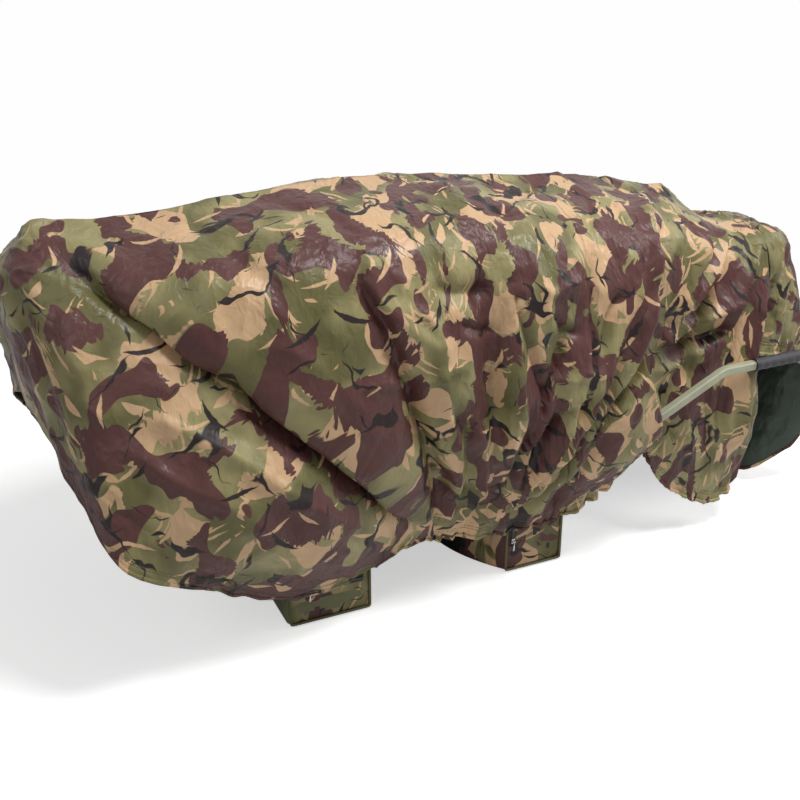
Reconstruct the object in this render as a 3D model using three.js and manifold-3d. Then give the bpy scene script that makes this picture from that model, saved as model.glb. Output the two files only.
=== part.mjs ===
// Waterproof camouflage cover drawn over a loaded two-handled barrow frame with two bags hung below it.
// Millimetres, +Z up, +X towards the handles. The origin is under the middle of the front bag.
import * as THREE from 'three';
import { mergeVertices } from 'three/addons/utils/BufferGeometryUtils.js';
import Module from 'manifold-3d';

const wasm = await Module();
wasm.setup();

// Frame: square steel tube, welded
const railLength = 955;
const railSpacing = 580;
const railAxisHeight = 355;
const railWidth = 25;
const railWall = 2.5;
const tubeCorner = 4;
const crossTubeWidth = 20;
const rackTubeWidth = 16;
const rackWidth = 400;
const hoopLength = 275;
const hoopWidth = 360;
const hoopBend = 60;
const crossTubeInset = 20;
const bagTubeInset = 28;
const weldGap = 0.3;

// Handles: tubes that slide into the open rear ends of the rails
const handleWidth = 19;
const handleCorner = 4;
const handlePullOut = 100;
const handleGuide = 30;
const handleStraight = 50;
const handleRise = 82;
const handleSlopeLength = 165;
const handleReach = 222;
const handleBend = 45;
const gripRadius = 14;
const gripLength = 140;
const gripGroove = 1;
const gripRibs = 6;
const gripEndRound = 5;
const gripWall = 4;
const collarRadius = 15.5;
const collarLength = 5;
const sleeveClearance = 0.3;

// Clamps: a sleeve on each rail with a screw that presses on the handle tube
const clampLength = 26;
const clampWall = 4;
const clampSetback = 12;
const clampCorner = 5;
const bossRadius = 8;
const bossHeight = 7;
const screwRadius = 3;
const screwClearance = 0.3;
const knobRadius = 10;
const knobHeight = 9;
const knobLobes = 5;
const knobLobeDepth = 1.6;

// End caps in the front ends of the rails
const capThickness = 3;
const capPlugLength = 15;

// Bags that hang under the frame and stand on the ground
const bagHalfWidth = 216;
const bagCorner = 14;
const bagEdge = 12;
const frontBagLength = 193;
const rearBagLength = 152;
const bagStationShares = [0.28, 0.791];
const rearBagBulgeAngle = THREE.MathUtils.degToRad(50);
const pipingRadius = 3;
const pipingAngle = THREE.MathUtils.degToRad(25);

// Zips on the near faces of the bags
const tapeWidth = 16;
const tapeThickness = 1;
const coilWidth = 5;
const coilHeight = 1.8;
const coilPitch = 4;
const toothDepth = 0.6;
const frontZipLength = 150;
const frontZipHeight = 82;
const rearZipLength = 190;
const rearZipSetback = 22;
const rearZipFoot = 66;
const sliderLength = 12;
const sliderWidth = 9;
const sliderRoof = 1.4;
const sliderFlange = 1.2;
const sliderClearance = 0.35;
const earThickness = 1.2;
const earRadius = 2.4;
const earSpacing = 5.2;
const pinRadius = 0.9;
const pinClearance = 0.2;
const pullLength = 24;
const pullWidth = 4.4;
const pullThickness = 1.2;
const pullHole = 1.2;
const frontSliderStart = 27;
const rearSliderStart = 14;

// Load under the cover
const loadHeight = 545;
const carryallHalfWidth = 245;
const carryallHeight = 330;
const carryallEdge = 30;
const rearLoadLength = 260;
const rearLoadHeight = 280;
const holdallSlack = 8;

// Cover: coated nylon sheet, drawn with the thickness that it has with its folds and hems
const clothWall = 3;
const clothRows = 16;
const columnsPerRib = 2;
const seamGap = 0.8;
const casingRadius = 5.5;
const casingGap = 0.8;
const farShoulderDrop = 70;

// One clearance for everything that rests on, hangs from or lies against something else
const seatGap = 0.3;
const cutOverrun = 1;
const roundSteps = 16;
const bendSteps = 4;
const bulgeSteps = 14;

// Heights are shares: 0 on the ground, 1 at the rails' centre line, 2 at the top of the load.
// Lengths are shares of the rails, widths are shares of half their spacing.
// Each rib of the cover has five points, from its hem up to the ridge.
const sideRibShares = [
  [-0.53, -1.07, 0.61, -0.56, -1.21, 1.01, -0.58, -1.09, 1.36, -0.6, -0.74, 1.8, -0.61, -0.14, 1.97],
  [-0.39, -0.95, 0.37, -0.42, -1.24, 0.85, -0.44, -1.19, 1.3, -0.46, -0.9, 1.82, -0.47, -0.14, 1.97],
  [-0.26, -0.89, 0.29, -0.27, -1.19, 0.7, -0.29, -1.24, 1.27, -0.31, -1, 1.85, -0.31, -0.14, 1.99],
  [-0.13, -0.86, 0.34, -0.14, -1.12, 0.7, -0.15, -1.24, 1.27, -0.15, -1.07, 1.87, -0.15, -0.14, 2],
  [0, -0.84, 0.43, 0, -1.05, 0.75, 0, -1.23, 1.27, 0, -1.07, 1.86, 0, -0.14, 1.99],
  [0.18, -0.86, 0.39, 0.18, -1.08, 0.76, 0.18, -1.25, 1.27, 0.19, -1.05, 1.83, 0.19, -0.14, 1.95],
  [0.31, -0.86, 0.37, 0.31, -1.09, 0.79, 0.31, -1.23, 1.27, 0.32, -1.03, 1.79, 0.32, -0.14, 1.92],
];
const middleRibShares = [
  sideRibShares[6],
  [0.44, -0.86, 0.48, 0.44, -1.12, 0.85, 0.42, -1.2, 1.27, 0.43, -1.01, 1.77, 0.47, -0.14, 1.89],
  [0.54, -0.86, 0.72, 0.53, -1.16, 1, 0.48, -1.17, 1.3, 0.52, -0.97, 1.76, 0.63, -0.14, 1.83],
];
const rearRibShares = [
  [0.56, -0.84, 0.68, 0.54, -0.89, 0.97, 0.5, -0.9, 1.27, 0.52, -0.97, 1.76, 0.63, -0.14, 1.83],
  [0.63, -0.84, 0.42, 0.65, -0.88, 0.82, 0.66, -0.87, 1.17, 0.67, -0.78, 1.67, 0.7, -0.14, 1.79],
  [0.75, -0.86, 0.22, 0.77, -0.9, 0.7, 0.78, -0.89, 1.17, 0.77, -0.74, 1.6, 0.77, -0.14, 1.675],
  [0.83, -0.82, 0.26, 0.87, -0.84, 0.7, 0.88, -0.83, 1.14, 0.87, -0.71, 1.6, 0.85, -0.14, 1.62],
];
const frontRibShares = [
  [-0.68, -1.17, 0.89, -0.7, -1.05, 1.17, -0.72, -0.84, 1.45, -0.74, -0.52, 1.82, -0.73, -0.14, 1.99],
  [-0.73, -0.69, 1.06, -0.75, -0.64, 1.25, -0.77, -0.53, 1.49, -0.79, -0.34, 1.83, -0.73, -0.14, 1.99],
  [-0.77, 0, 1.24, -0.79, 0, 1.38, -0.8, 0, 1.56, -0.8, -0.03, 1.82, -0.73, -0.14, 1.99],
  [-0.785, 0.68, 1.2, -0.79, 0.63, 1.35, -0.79, 0.55, 1.52, -0.77, 0.31, 1.78, -0.73, -0.14, 1.99],
  [-0.72, 1.28, 0.9, -0.72, 1.16, 1.17, -0.72, 0.93, 1.45, -0.71, 0.52, 1.76, -0.73, -0.14, 1.99],
];
const tailRibShares = [
  [0.89, 0.77, 0.34, 0.89, 0.77, 0.79, 0.89, 0.76, 1.16, 0.87, 0.71, 1.49, 0.85, -0.14, 1.62],
  [0.96, 0.55, 0.28, 0.96, 0.57, 0.76, 0.95, 0.57, 1.17, 0.92, 0.48, 1.51, 0.85, -0.14, 1.62],
  [0.99, 0.24, 0.23, 1.01, 0.28, 0.76, 1, 0.29, 1.19, 0.96, 0.22, 1.53, 0.85, -0.14, 1.62],
  [0.96, -0.1, 0.12, 1.01, -0.07, 0.73, 1.03, -0.03, 1.19, 0.98, -0.03, 1.55, 0.85, -0.14, 1.62],
  [1.01, -0.36, 0.13, 1.05, -0.36, 0.74, 1.03, -0.34, 1.21, 0.98, -0.24, 1.56, 0.85, -0.14, 1.62],
  [1.12, -0.57, 0.48, 1.1, -0.58, 0.9, 1.03, -0.59, 1.23, 0.97, -0.41, 1.57, 0.85, -0.14, 1.62],
  [1.07, -0.64, 0.93, 1.05, -0.66, 1.14, 0.99, -0.66, 1.36, 0.95, -0.53, 1.6, 0.85, -0.14, 1.62],
  [0.97, -0.71, 1.08, 0.97, -0.71, 1.21, 0.95, -0.71, 1.38, 0.91, -0.62, 1.62, 0.85, -0.14, 1.62],
  [0.89, -0.77, 1.12, 0.89, -0.77, 1.21, 0.89, -0.75, 1.36, 0.87, -0.71, 1.6, 0.85, -0.14, 1.62],
];

// Main folds of the cover: the line that each follows (length and height shares), how far it
// spreads to each side and how deep it is drawn in. A fold with a negative depth stands out.
const mainFolds = [
  { lineShares: [[-0.69, 1.93], [-0.56, 1.8], [-0.43, 1.52], [-0.25, 1.21], [-0.14, 0.97], [0.04, 0.5]],
    spread: 85, depth: 40 },
  { lineShares: [[-0.54, 1.9], [-0.38, 1.68], [-0.22, 1.42]], spread: 70, depth: -16 },
  { lineShares: [[-0.18, 1.8], [-0.12, 1.56], [-0.07, 1.32], [0, 1.02], [0.07, 0.5]], spread: 60, depth: 20 },
  { lineShares: [[0.18, 1.1], [0.13, 0.9], [0.08, 0.45]], spread: 50, depth: 16 },
  {
    lineShares: [[0.34, 1.82], [0.33, 1.54], [0.32, 1.2], [0.35, 0.95], [0.36, 0.55]],
    spread: 50,
    depth: 12,
  },
  { lineShares: [[0.48, 1.3], [0.6, 1.34], [0.7, 1.42]], spread: 45, depth: -14 },
];

// Places that follow from the sizes above
const railHalfSpacing = railSpacing / 2;
const railFrontShare = -0.5026;
const railFrontEnd = railFrontShare * railLength;
const railRearEnd = railFrontEnd + railLength;
const frontBagCentre = railFrontEnd + bagStationShares[0] * railLength;
const rearBagCentre = railFrontEnd + bagStationShares[1] * railLength;
const handleInsertion = handlePullOut + handleGuide;
const crossTubeTop = railAxisHeight + crossTubeWidth / 2;
const crossTubeBottom = railAxisHeight - crossTubeWidth / 2;
const bagHeight = crossTubeBottom - seatGap;
const crossTubeStations = [
  railFrontEnd + crossTubeInset,
  frontBagCentre - frontBagLength / 2 + bagTubeInset,
  frontBagCentre + frontBagLength / 2 - bagTubeInset,
  rearBagCentre - rearBagLength / 2 + bagTubeInset,
  rearBagCentre + rearBagLength / 2 - bagTubeInset,
  railRearEnd - crossTubeInset - clampLength - clampSetback,
];
const clampCentre = railRearEnd - clampSetback - clampLength / 2;
const screwHoleRadius = screwRadius + screwClearance;
const carryallFoot = crossTubeTop + seatGap;
const carryallTop = carryallFoot + carryallHeight;

const camouflage = { color: 0x6d6a45, roughness: 0.55, metalness: 0 };
const darkNylon = { color: 0x3b4238, roughness: 0.6, metalness: 0 };
const olivePaint = { color: 0x7d7f66, roughness: 0.45, metalness: 0.3 };
const blackRubber = { color: 0x2c2c30, roughness: 0.8, metalness: 0 };
const blackPlastic = { color: 0x202122, roughness: 0.5, metalness: 0 };
const brightMetal = { color: 0xb9bbb8, roughness: 0.3, metalness: 0.9 };
const oliveWebbing = { color: 0x4d4b33, roughness: 0.8, metalness: 0 };

const part = new THREE.Group();
part.position.x = -frontBagCentre;

function addPiece(name, geometry, finish, group = part) {
  const mesh = new THREE.Mesh(geometry, new THREE.MeshStandardMaterial(finish));
  mesh.name = name;
  group.add(mesh);
  return mesh;
}

// A closed body from shared points and triangles, turned so that its faces point out.
function closedBody(points, triangles) {
  let volume = 0;
  for (const [a, b, c] of triangles) {
    volume += points[a].dot(new THREE.Vector3().crossVectors(points[b], points[c]));
  }
  const ordered = volume < 0 ? triangles.map(([a, b, c]) => [a, c, b]) : triangles;
  const geometry = new THREE.BufferGeometry();
  geometry.setFromPoints(points);
  geometry.setIndex(ordered.flat());
  return geometry;
}

// Rings of equal length joined into a tube; open tubes get a flat face at each end.
function skinRings(rings, closed = false) {
  const size = rings[0].length;
  const triangles = [];
  const joins = closed ? rings.length : rings.length - 1;
  for (let ring = 0; ring < joins; ring += 1) {
    const here = ring * size;
    const next = ((ring + 1) % rings.length) * size;
    for (let side = 0; side < size; side += 1) {
      const after = (side + 1) % size;
      triangles.push([here + side, here + after, next + after]);
      triangles.push([here + side, next + after, next + side]);
    }
  }
  if (!closed) {
    const last = (rings.length - 1) * size;
    for (let side = 1; side < size - 1; side += 1) {
      triangles.push([0, side + 1, side]);
      triangles.push([last, last + side, last + side + 1]);
    }
  }
  return closedBody(rings.flat(), triangles);
}

// A path through its corners, each rounded with an even bend.
function bentPath(corners, bend, closed = false) {
  const path = [];
  corners.forEach((corner, index) => {
    const before = corners[(index + corners.length - 1) % corners.length];
    const after = corners[(index + 1) % corners.length];
    if (!closed && (index === 0 || index === corners.length - 1)) {
      path.push(corner.clone());
      return;
    }
    const toBefore = before.clone().sub(corner).normalize();
    const toAfter = after.clone().sub(corner).normalize();
    const turn = Math.PI - toBefore.angleTo(toAfter);
    const reach = bend * Math.tan(turn / 2);
    const arcStart = corner.clone().addScaledVector(toBefore, reach);
    const arcEnd = corner.clone().addScaledVector(toAfter, reach);
    const arc = new THREE.QuadraticBezierCurve3(arcStart, corner, arcEnd);
    path.push(...arc.getPoints(bendSteps));
  });
  return path;
}

// A section swept along a path that lies in one plane, mitred at each point of the path.
function sweepFlat(path, section, side, closed = false) {
  const rings = path.map((point, index) => {
    const before = closed ? path[(index + path.length - 1) % path.length] : path[Math.max(index - 1, 0)];
    const after = closed ? path[(index + 1) % path.length] : path[Math.min(index + 1, path.length - 1)];
    const arriving = point.clone().sub(before).normalize();
    const leaving = after.clone().sub(point).normalize();
    if (arriving.lengthSq() === 0) {
      arriving.copy(leaving);
    }
    if (leaving.lengthSq() === 0) {
      leaving.copy(arriving);
    }
    const along = arriving.clone().add(leaving).normalize();
    const across = new THREE.Vector3().crossVectors(along, side).divideScalar(along.dot(arriving));
    return section.map(([a, b]) => point.clone().addScaledVector(side, a).addScaledVector(across, b));
  });
  return skinRings(rings, closed);
}

function squareSection(width, corner) {
  const flat = width / 2 - corner;
  const points = [];
  [[1, 1], [-1, 1], [-1, -1], [1, -1]].forEach(([a, b], quarter) => {
    for (let step = 0; step <= 2; step += 1) {
      const angle = (quarter + step / 2) * (Math.PI / 2);
      points.push([a * flat + corner * Math.cos(angle), b * flat + corner * Math.sin(angle)]);
    }
  });
  return points;
}

function roundSection(radius, sides) {
  return Array.from({ length: sides }, (_, side) => {
    const angle = ((side + 0.5) * 2 * Math.PI) / sides;
    return [radius * Math.cos(angle), radius * Math.sin(angle)];
  });
}

function roundedOutline(width, height, corner) {
  const across = width / 2 - corner;
  const up = height / 2 - corner;
  const outline = new THREE.Shape();
  outline.absarc(across, up, corner, 0, Math.PI / 2, false);
  outline.absarc(-across, up, corner, Math.PI / 2, Math.PI, false);
  outline.absarc(-across, -up, corner, Math.PI, 1.5 * Math.PI, false);
  outline.absarc(across, -up, corner, 1.5 * Math.PI, 2 * Math.PI, false);
  return outline;
}

// Solids for cuts and joins
function toSolid(geometry) {
  const bare = geometry.clone();
  bare.deleteAttribute('normal');
  bare.deleteAttribute('uv');
  const merged = mergeVertices(bare);
  return new wasm.Manifold(new wasm.Mesh({
    numProp: 3,
    vertProperties: new Float32Array(merged.attributes.position.array),
    triVerts: new Uint32Array(merged.index.array),
  }));
}

function fromSolid(solid) {
  const mesh = solid.getMesh();
  const geometry = new THREE.BufferGeometry();
  geometry.setAttribute('position', new THREE.BufferAttribute(mesh.vertProperties, 3));
  geometry.setIndex(new THREE.BufferAttribute(mesh.triVerts, 1));
  return geometry;
}

function cut(geometry, ...tools) {
  return fromSolid(tools.reduce((solid, tool) => solid.subtract(toSolid(tool)), toSolid(geometry)));
}

function join(geometry, ...others) {
  return fromSolid(others.reduce((solid, other) => solid.add(toSolid(other)), toSolid(geometry)));
}

function boxAt(length, width, height, x, y, z) {
  return new THREE.BoxGeometry(length, width, height).translate(x, y, z);
}

// A round bar along Z from one height to another
function uprightBar(radius, x, y, low, high) {
  const bar = new THREE.CylinderGeometry(radius, radius, high - low, roundSteps);
  return bar.rotateX(Math.PI / 2).translate(x, y, (low + high) / 2);
}

// A straight tube of square section along X, hollow where it has a wall
function squareTube(from, to, width, corner, y, z, wall = 0) {
  const outline = roundedOutline(width, width, corner);
  if (wall > 0) {
    outline.holes.push(roundedOutline(width - 2 * wall, width - 2 * wall, corner - wall));
  }
  const tube = new THREE.ExtrudeGeometry(outline,
    { depth: to - from, bevelEnabled: false, curveSegments: 2 });
  return tube.rotateY(Math.PI / 2).translate(from, y, z);
}

// Frame: rails, cross tubes, front rack and rear hoop
const frameGroup = new THREE.Group();
part.add(frameGroup);

for (const [side, sign] of [['left', -1], ['right', 1]]) {
  const y = sign * railHalfSpacing;
  const rail = squareTube(railFrontEnd, railRearEnd, railWidth, tubeCorner, y, railAxisHeight, railWall);
  const screwHole = uprightBar(
    screwHoleRadius, clampCentre, y, railAxisHeight - railWidth / 2 - cutOverrun, railAxisHeight);
  addPiece(`frame_rail_${side}`, cut(rail, screwHole), olivePaint, frameGroup);

  const capPlugWidth = railWidth - 2 * railWall - 2 * seatGap;
  const cap = join(
    squareTube(railFrontEnd - seatGap - capThickness, railFrontEnd - seatGap, railWidth, tubeCorner, y,
      railAxisHeight),
    squareTube(railFrontEnd - seatGap - capThickness / 2, railFrontEnd + capPlugLength, capPlugWidth,
      tubeCorner - railWall, y, railAxisHeight));
  addPiece(`rail_end_cap_${side}`, cap, blackPlastic, frameGroup);
}

crossTubeStations.forEach((x, index) => {
  const length = railSpacing - railWidth - 2 * weldGap;
  const ends = [-1, 1].map((sign) => new THREE.Vector3(x, sign * length / 2, railAxisHeight));
  const tube = sweepFlat(ends, squareSection(crossTubeWidth, tubeCorner), new THREE.Vector3(1, 0, 0));
  addPiece(`cross_tube_${index + 1}`, tube, olivePaint, frameGroup);
});

{
  const foot = crossTubeTop + weldGap;
  const top = carryallTop - rackTubeWidth / 2;
  const x = crossTubeStations[0];
  const corners = [
    new THREE.Vector3(x, -rackWidth / 2, foot),
    new THREE.Vector3(x, -rackWidth / 2, top),
    new THREE.Vector3(x, rackWidth / 2, top),
    new THREE.Vector3(x, rackWidth / 2, foot),
  ];
  const rack = sweepFlat(bentPath(corners, hoopBend), squareSection(rackTubeWidth, tubeCorner),
    new THREE.Vector3(1, 0, 0));
  addPiece('front_rack_hoop', rack, olivePaint, frameGroup);
}

const hoopStart = crossTubeStations[5] + crossTubeWidth / 2 + weldGap;
{
  const corners = [
    new THREE.Vector3(hoopStart, -hoopWidth / 2, railAxisHeight),
    new THREE.Vector3(hoopStart + hoopLength, -hoopWidth / 2, railAxisHeight),
    new THREE.Vector3(hoopStart + hoopLength, hoopWidth / 2, railAxisHeight),
    new THREE.Vector3(hoopStart, hoopWidth / 2, railAxisHeight),
  ];
  const hoop = sweepFlat(bentPath(corners, hoopBend), squareSection(crossTubeWidth, tubeCorner),
    new THREE.Vector3(0, 0, 1));
  addPiece('rear_deck_hoop', hoop, olivePaint, frameGroup);
}

// Clamps and their screws, one on each rail
function clampSleeve(y) {
  const outerWidth = railWidth + 2 * seatGap + 2 * clampWall;
  const boreWidth = railWidth + 2 * seatGap;
  const from = clampCentre - clampLength / 2;
  const to = clampCentre + clampLength / 2;
  const bossFoot = railAxisHeight - outerWidth / 2 - bossHeight;
  const block = join(
    squareTube(from, to, outerWidth, clampCorner, y, railAxisHeight),
    uprightBar(bossRadius, clampCentre, y, bossFoot, railAxisHeight - outerWidth / 2 + clampWall / 2));
  return cut(
    block,
    squareTube(from - cutOverrun, to + cutOverrun, boreWidth, tubeCorner, y, railAxisHeight),
    uprightBar(screwHoleRadius, clampCentre, y, bossFoot - cutOverrun, railAxisHeight));
}

function clampScrew(y) {
  const bossFoot = railAxisHeight - railWidth / 2 - seatGap - clampWall - bossHeight;
  const headTop = bossFoot - seatGap;
  const lobes = Array.from({ length: 4 * knobLobes }, (_, step) => {
    const angle = (step * Math.PI) / (2 * knobLobes);
    const radius = knobRadius - knobLobeDepth * (0.5 - 0.5 * Math.cos(angle * knobLobes));
    return new THREE.Vector2(radius * Math.cos(angle), radius * Math.sin(angle));
  });
  const head = new THREE.ExtrudeGeometry(new THREE.Shape(lobes), { depth: knobHeight, bevelEnabled: false });
  head.translate(clampCentre, y, headTop - knobHeight);
  const stemTop = railAxisHeight - handleWidth / 2 - seatGap;
  return join(head, uprightBar(screwRadius, clampCentre, y, headTop - knobHeight / 2, stemTop));
}

// Handles: bent tube, ribbed rubber grip and the collar in front of it
function handleCorners(y) {
  const bendX = railRearEnd + handleStraight;
  const topX = bendX + Math.sqrt(handleSlopeLength ** 2 - handleRise ** 2) + handleRise / 4;
  const topZ = railAxisHeight + handleRise;
  return [
    new THREE.Vector3(railRearEnd - handleInsertion, y, railAxisHeight),
    new THREE.Vector3(bendX, y, railAxisHeight),
    new THREE.Vector3(topX, y, topZ),
    new THREE.Vector3(topX + handleReach, y, topZ),
  ];
}

function gripSleeve(y, tubeEnd, z) {
  const start = tubeEnd.x - gripLength + gripWall;
  const ribLength = (gripLength - 2 * gripEndRound - gripWall) / gripRibs;
  const profile = [new THREE.Vector2(0, 0), new THREE.Vector2(gripRadius, 0)];
  for (let rib = 0; rib < gripRibs; rib += 1) {
    const along = gripEndRound + rib * ribLength;
    profile.push(new THREE.Vector2(gripRadius, along + ribLength * 0.15));
    profile.push(new THREE.Vector2(gripRadius - gripGroove, along + ribLength * 0.35));
    profile.push(new THREE.Vector2(gripRadius - gripGroove, along + ribLength * 0.65));
    profile.push(new THREE.Vector2(gripRadius, along + ribLength * 0.85));
  }
  profile.push(new THREE.Vector2(gripRadius, gripLength - gripEndRound));
  profile.push(new THREE.Vector2(gripRadius - gripEndRound * 0.3, gripLength - gripEndRound * 0.3));
  profile.push(new THREE.Vector2(gripRadius - gripEndRound, gripLength));
  profile.push(new THREE.Vector2(0, gripLength));
  const sleeve = new THREE.LatheGeometry(profile, roundSteps);
  sleeve.rotateZ(-Math.PI / 2).translate(start, y, z);
  const bore = squareTube(start - cutOverrun, tubeEnd.x + seatGap, handleWidth + 2 * sleeveClearance,
    handleCorner, y, z);
  return cut(sleeve, bore);
}

function gripCollar(y, gripStart, z) {
  const collar = new THREE.CylinderGeometry(collarRadius, collarRadius, collarLength, roundSteps);
  collar.rotateZ(Math.PI / 2).translate(gripStart - seatGap - collarLength / 2, y, z);
  const bore = squareTube(gripStart - collarLength - 2 * cutOverrun, gripStart + cutOverrun,
    handleWidth + 2 * sleeveClearance, handleCorner, y, z);
  return cut(collar, bore);
}

for (const [side, sign] of [['left', -1], ['right', 1]]) {
  const y = sign * railHalfSpacing;
  const corners = handleCorners(y);
  const handleGroup = new THREE.Group();
  part.add(handleGroup);
  const tube = sweepFlat(bentPath(corners, handleBend), squareSection(handleWidth, handleCorner),
    new THREE.Vector3(0, 1, 0));
  addPiece(`handle_tube_${side}`, tube, olivePaint, handleGroup);
  addPiece(`handle_grip_${side}`, gripSleeve(y, corners[3], corners[3].z), blackRubber, handleGroup);
  const gripStart = corners[3].x - gripLength + gripWall;
  addPiece(`grip_collar_${side}`, gripCollar(y, gripStart, corners[3].z), blackPlastic, handleGroup);
  addPiece(`handle_clamp_${side}`, clampSleeve(y), blackPlastic);
  addPiece(`clamp_screw_${side}`, clampScrew(y), blackPlastic);
}

// Bags: the front one is a plain box, the rear one swells forward at its front end
function bagOutline(length, bulgeAngle) {
  const x = length / 2 - bagCorner;
  const y = bagHalfWidth - bagCorner;
  const turn = Math.PI / 2;
  const outline = new THREE.Shape();
  outline.absarc(x, -y, bagCorner, -turn, 0, false);
  outline.absarc(x, y, bagCorner, 0, turn, false);
  if (bulgeAngle === 0) {
    outline.absarc(-x, y, bagCorner, turn, 2 * turn, false);
    outline.absarc(-x, -y, bagCorner, 2 * turn, 3 * turn, false);
    return outline;
  }
  outline.absarc(-x, y, bagCorner, turn, turn + bulgeAngle, false);
  const start = new THREE.Vector2(-x - bagCorner * Math.sin(bulgeAngle),
    y + bagCorner * Math.cos(bulgeAngle));
  const tip = new THREE.Vector2(start.x - start.y / Math.tan(bulgeAngle), 0);
  const bulge = new THREE.QuadraticBezierCurve(start, tip, new THREE.Vector2(start.x, -start.y));
  bulge.getPoints(bulgeSteps).slice(1, -1).forEach((point) => outline.lineTo(point.x, point.y));
  outline.absarc(-x, -y, bagCorner, 3 * turn - bulgeAngle, 3 * turn, false);
  return outline;
}

function bagBody(centre, length, bulgeAngle) {
  const body = new THREE.ExtrudeGeometry(bagOutline(length, bulgeAngle), {
    depth: bagHeight - 2 * bagEdge,
    bevelThickness: bagEdge,
    bevelSize: bagEdge,
    bevelOffset: -bagEdge,
    bevelSegments: 2,
    curveSegments: 5,
  });
  return body.translate(centre, 0, bagEdge);
}

// Piping round the seam of a bag's near or far face, clear of the ground
function bagPiping(centre, length, sign) {
  const reach = pipingRadius + seatGap;
  const plane = bagHalfWidth - bagCorner + (bagCorner + reach) * Math.cos(pipingAngle);
  const sideways = length / 2 - bagCorner + (bagCorner + reach) * Math.sin(pipingAngle);
  const edgeAngle = Math.acos((plane - bagHalfWidth + bagEdge) / (bagEdge + reach));
  const upDown = bagHeight / 2 - bagEdge + (bagEdge + reach) * Math.sin(edgeAngle);
  const corners = [[-1, -1], [1, -1], [1, 1], [-1, 1]].map(([a, b]) =>
    new THREE.Vector3(centre + a * sideways, sign * plane, bagHeight / 2 + b * upDown));
  const loop = bentPath(corners, 2 * pipingRadius, true);
  return sweepFlat(loop, roundSection(pipingRadius, 6), new THREE.Vector3(0, 1, 0), true);
}

const bagGroup = new THREE.Group();
part.add(bagGroup);
for (const [name, centre, length, bulgeAngle] of [
  ['front', frontBagCentre, frontBagLength, 0],
  ['rear', rearBagCentre, rearBagLength, rearBagBulgeAngle],
]) {
  addPiece(`${name}_bag`, bagBody(centre, length, bulgeAngle), camouflage, bagGroup);
  addPiece(`${name}_bag_piping_near`, bagPiping(centre, length, -1), oliveWebbing, bagGroup);
  addPiece(`${name}_bag_piping_far`, bagPiping(centre, length, 1), oliveWebbing, bagGroup);
}

// Zips. Each is drawn along its own X axis with its back on the XY plane and turned into place.
function zipCoil(length) {
  const outline = new THREE.Shape();
  const half = coilWidth / 2;
  const teeth = Math.floor(length / coilPitch);
  const points = [];
  for (let tooth = 0; tooth < teeth; tooth += 1) {
    const start = -length / 2 + tooth * coilPitch;
    points.push([start, half - toothDepth], [start + coilPitch / 2, half]);
  }
  points.push([length / 2, half - toothDepth]);
  const under = points.map(([x, y]) => [x, -y]).reverse();
  outline.setFromPoints([...points, ...under].map(([x, y]) => new THREE.Vector2(x, y)));
  return new THREE.ExtrudeGeometry(outline, { depth: coilHeight, bevelEnabled: false });
}

const coilSeat = tapeThickness + seatGap;
const sliderRoofHeight = coilSeat + coilHeight + sliderClearance;
const pinHeight = sliderRoofHeight + sliderRoof + earRadius;

function zipSlider(turned) {
  const groove = coilWidth + 2 * sliderClearance;
  const foot = tapeThickness + seatGap;
  const top = sliderRoofHeight + sliderRoof;
  const shell = boxAt(sliderLength, groove + 2 * sliderFlange, top - foot, 0, 0, (top + foot) / 2);
  const tunnel = boxAt(
    sliderLength + 2 * cutOverrun, groove, sliderRoofHeight - foot + cutOverrun, 0, 0,
    (sliderRoofHeight + foot - cutOverrun) / 2);
  if (turned) {
    shell.rotateZ(Math.PI / 2);
    tunnel.rotateZ(Math.PI / 2);
  }
  const ears = [-1, 1].map((sign) => {
    const ear = new THREE.CylinderGeometry(earRadius, earRadius, earThickness, roundSteps);
    return ear.rotateZ(Math.PI / 2).translate((sign * (earSpacing + earThickness)) / 2, 0, pinHeight);
  });
  const feet = [-1, 1].map((sign) => boxAt(
    earThickness, 2 * earRadius, earRadius + sliderRoof / 2, (sign * (earSpacing + earThickness)) / 2, 0,
    pinHeight - (earRadius + sliderRoof / 2) / 2));
  const hole = new THREE.CylinderGeometry(
    pinRadius + pinClearance, pinRadius + pinClearance, earSpacing + 4 * earThickness, roundSteps);
  hole.rotateZ(Math.PI / 2).translate(0, 0, pinHeight);
  return cut(join(shell, ...ears, ...feet), tunnel, hole);
}

// The pull hangs from a cross pin between the slider's ears, along the tool's own -Y
function zipPull() {
  const pin = new THREE.CylinderGeometry(pinRadius, pinRadius, earSpacing + 2 * earThickness, roundSteps);
  pin.rotateZ(Math.PI / 2);
  const half = pullWidth / 2;
  const foot = -pullLength + half;
  const plate = new THREE.Shape();
  plate.moveTo(-half, 0);
  plate.absarc(0, foot, half, -Math.PI, 0, false);
  plate.lineTo(half, 0);
  const eye = new THREE.Path();
  eye.absarc(0, foot + pinRadius, pullHole, 0, 2 * Math.PI, false);
  plate.holes.push(eye);
  const blade = new THREE.ExtrudeGeometry(plate,
    { depth: pullThickness, bevelEnabled: false, curveSegments: 5 });
  blade.translate(0, 0, -pullThickness / 2);
  return join(pin, blade).translate(0, 0, pinHeight);
}

// Stands a zip piece drawn flat on the near face of a bag; turned ones run upwards
function ontoBag(geometry, x, z, turned) {
  if (turned) {
    geometry.rotateZ(Math.PI / 2);
  }
  return geometry.rotateX(Math.PI / 2).translate(x, -bagHalfWidth - seatGap, z);
}

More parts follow.
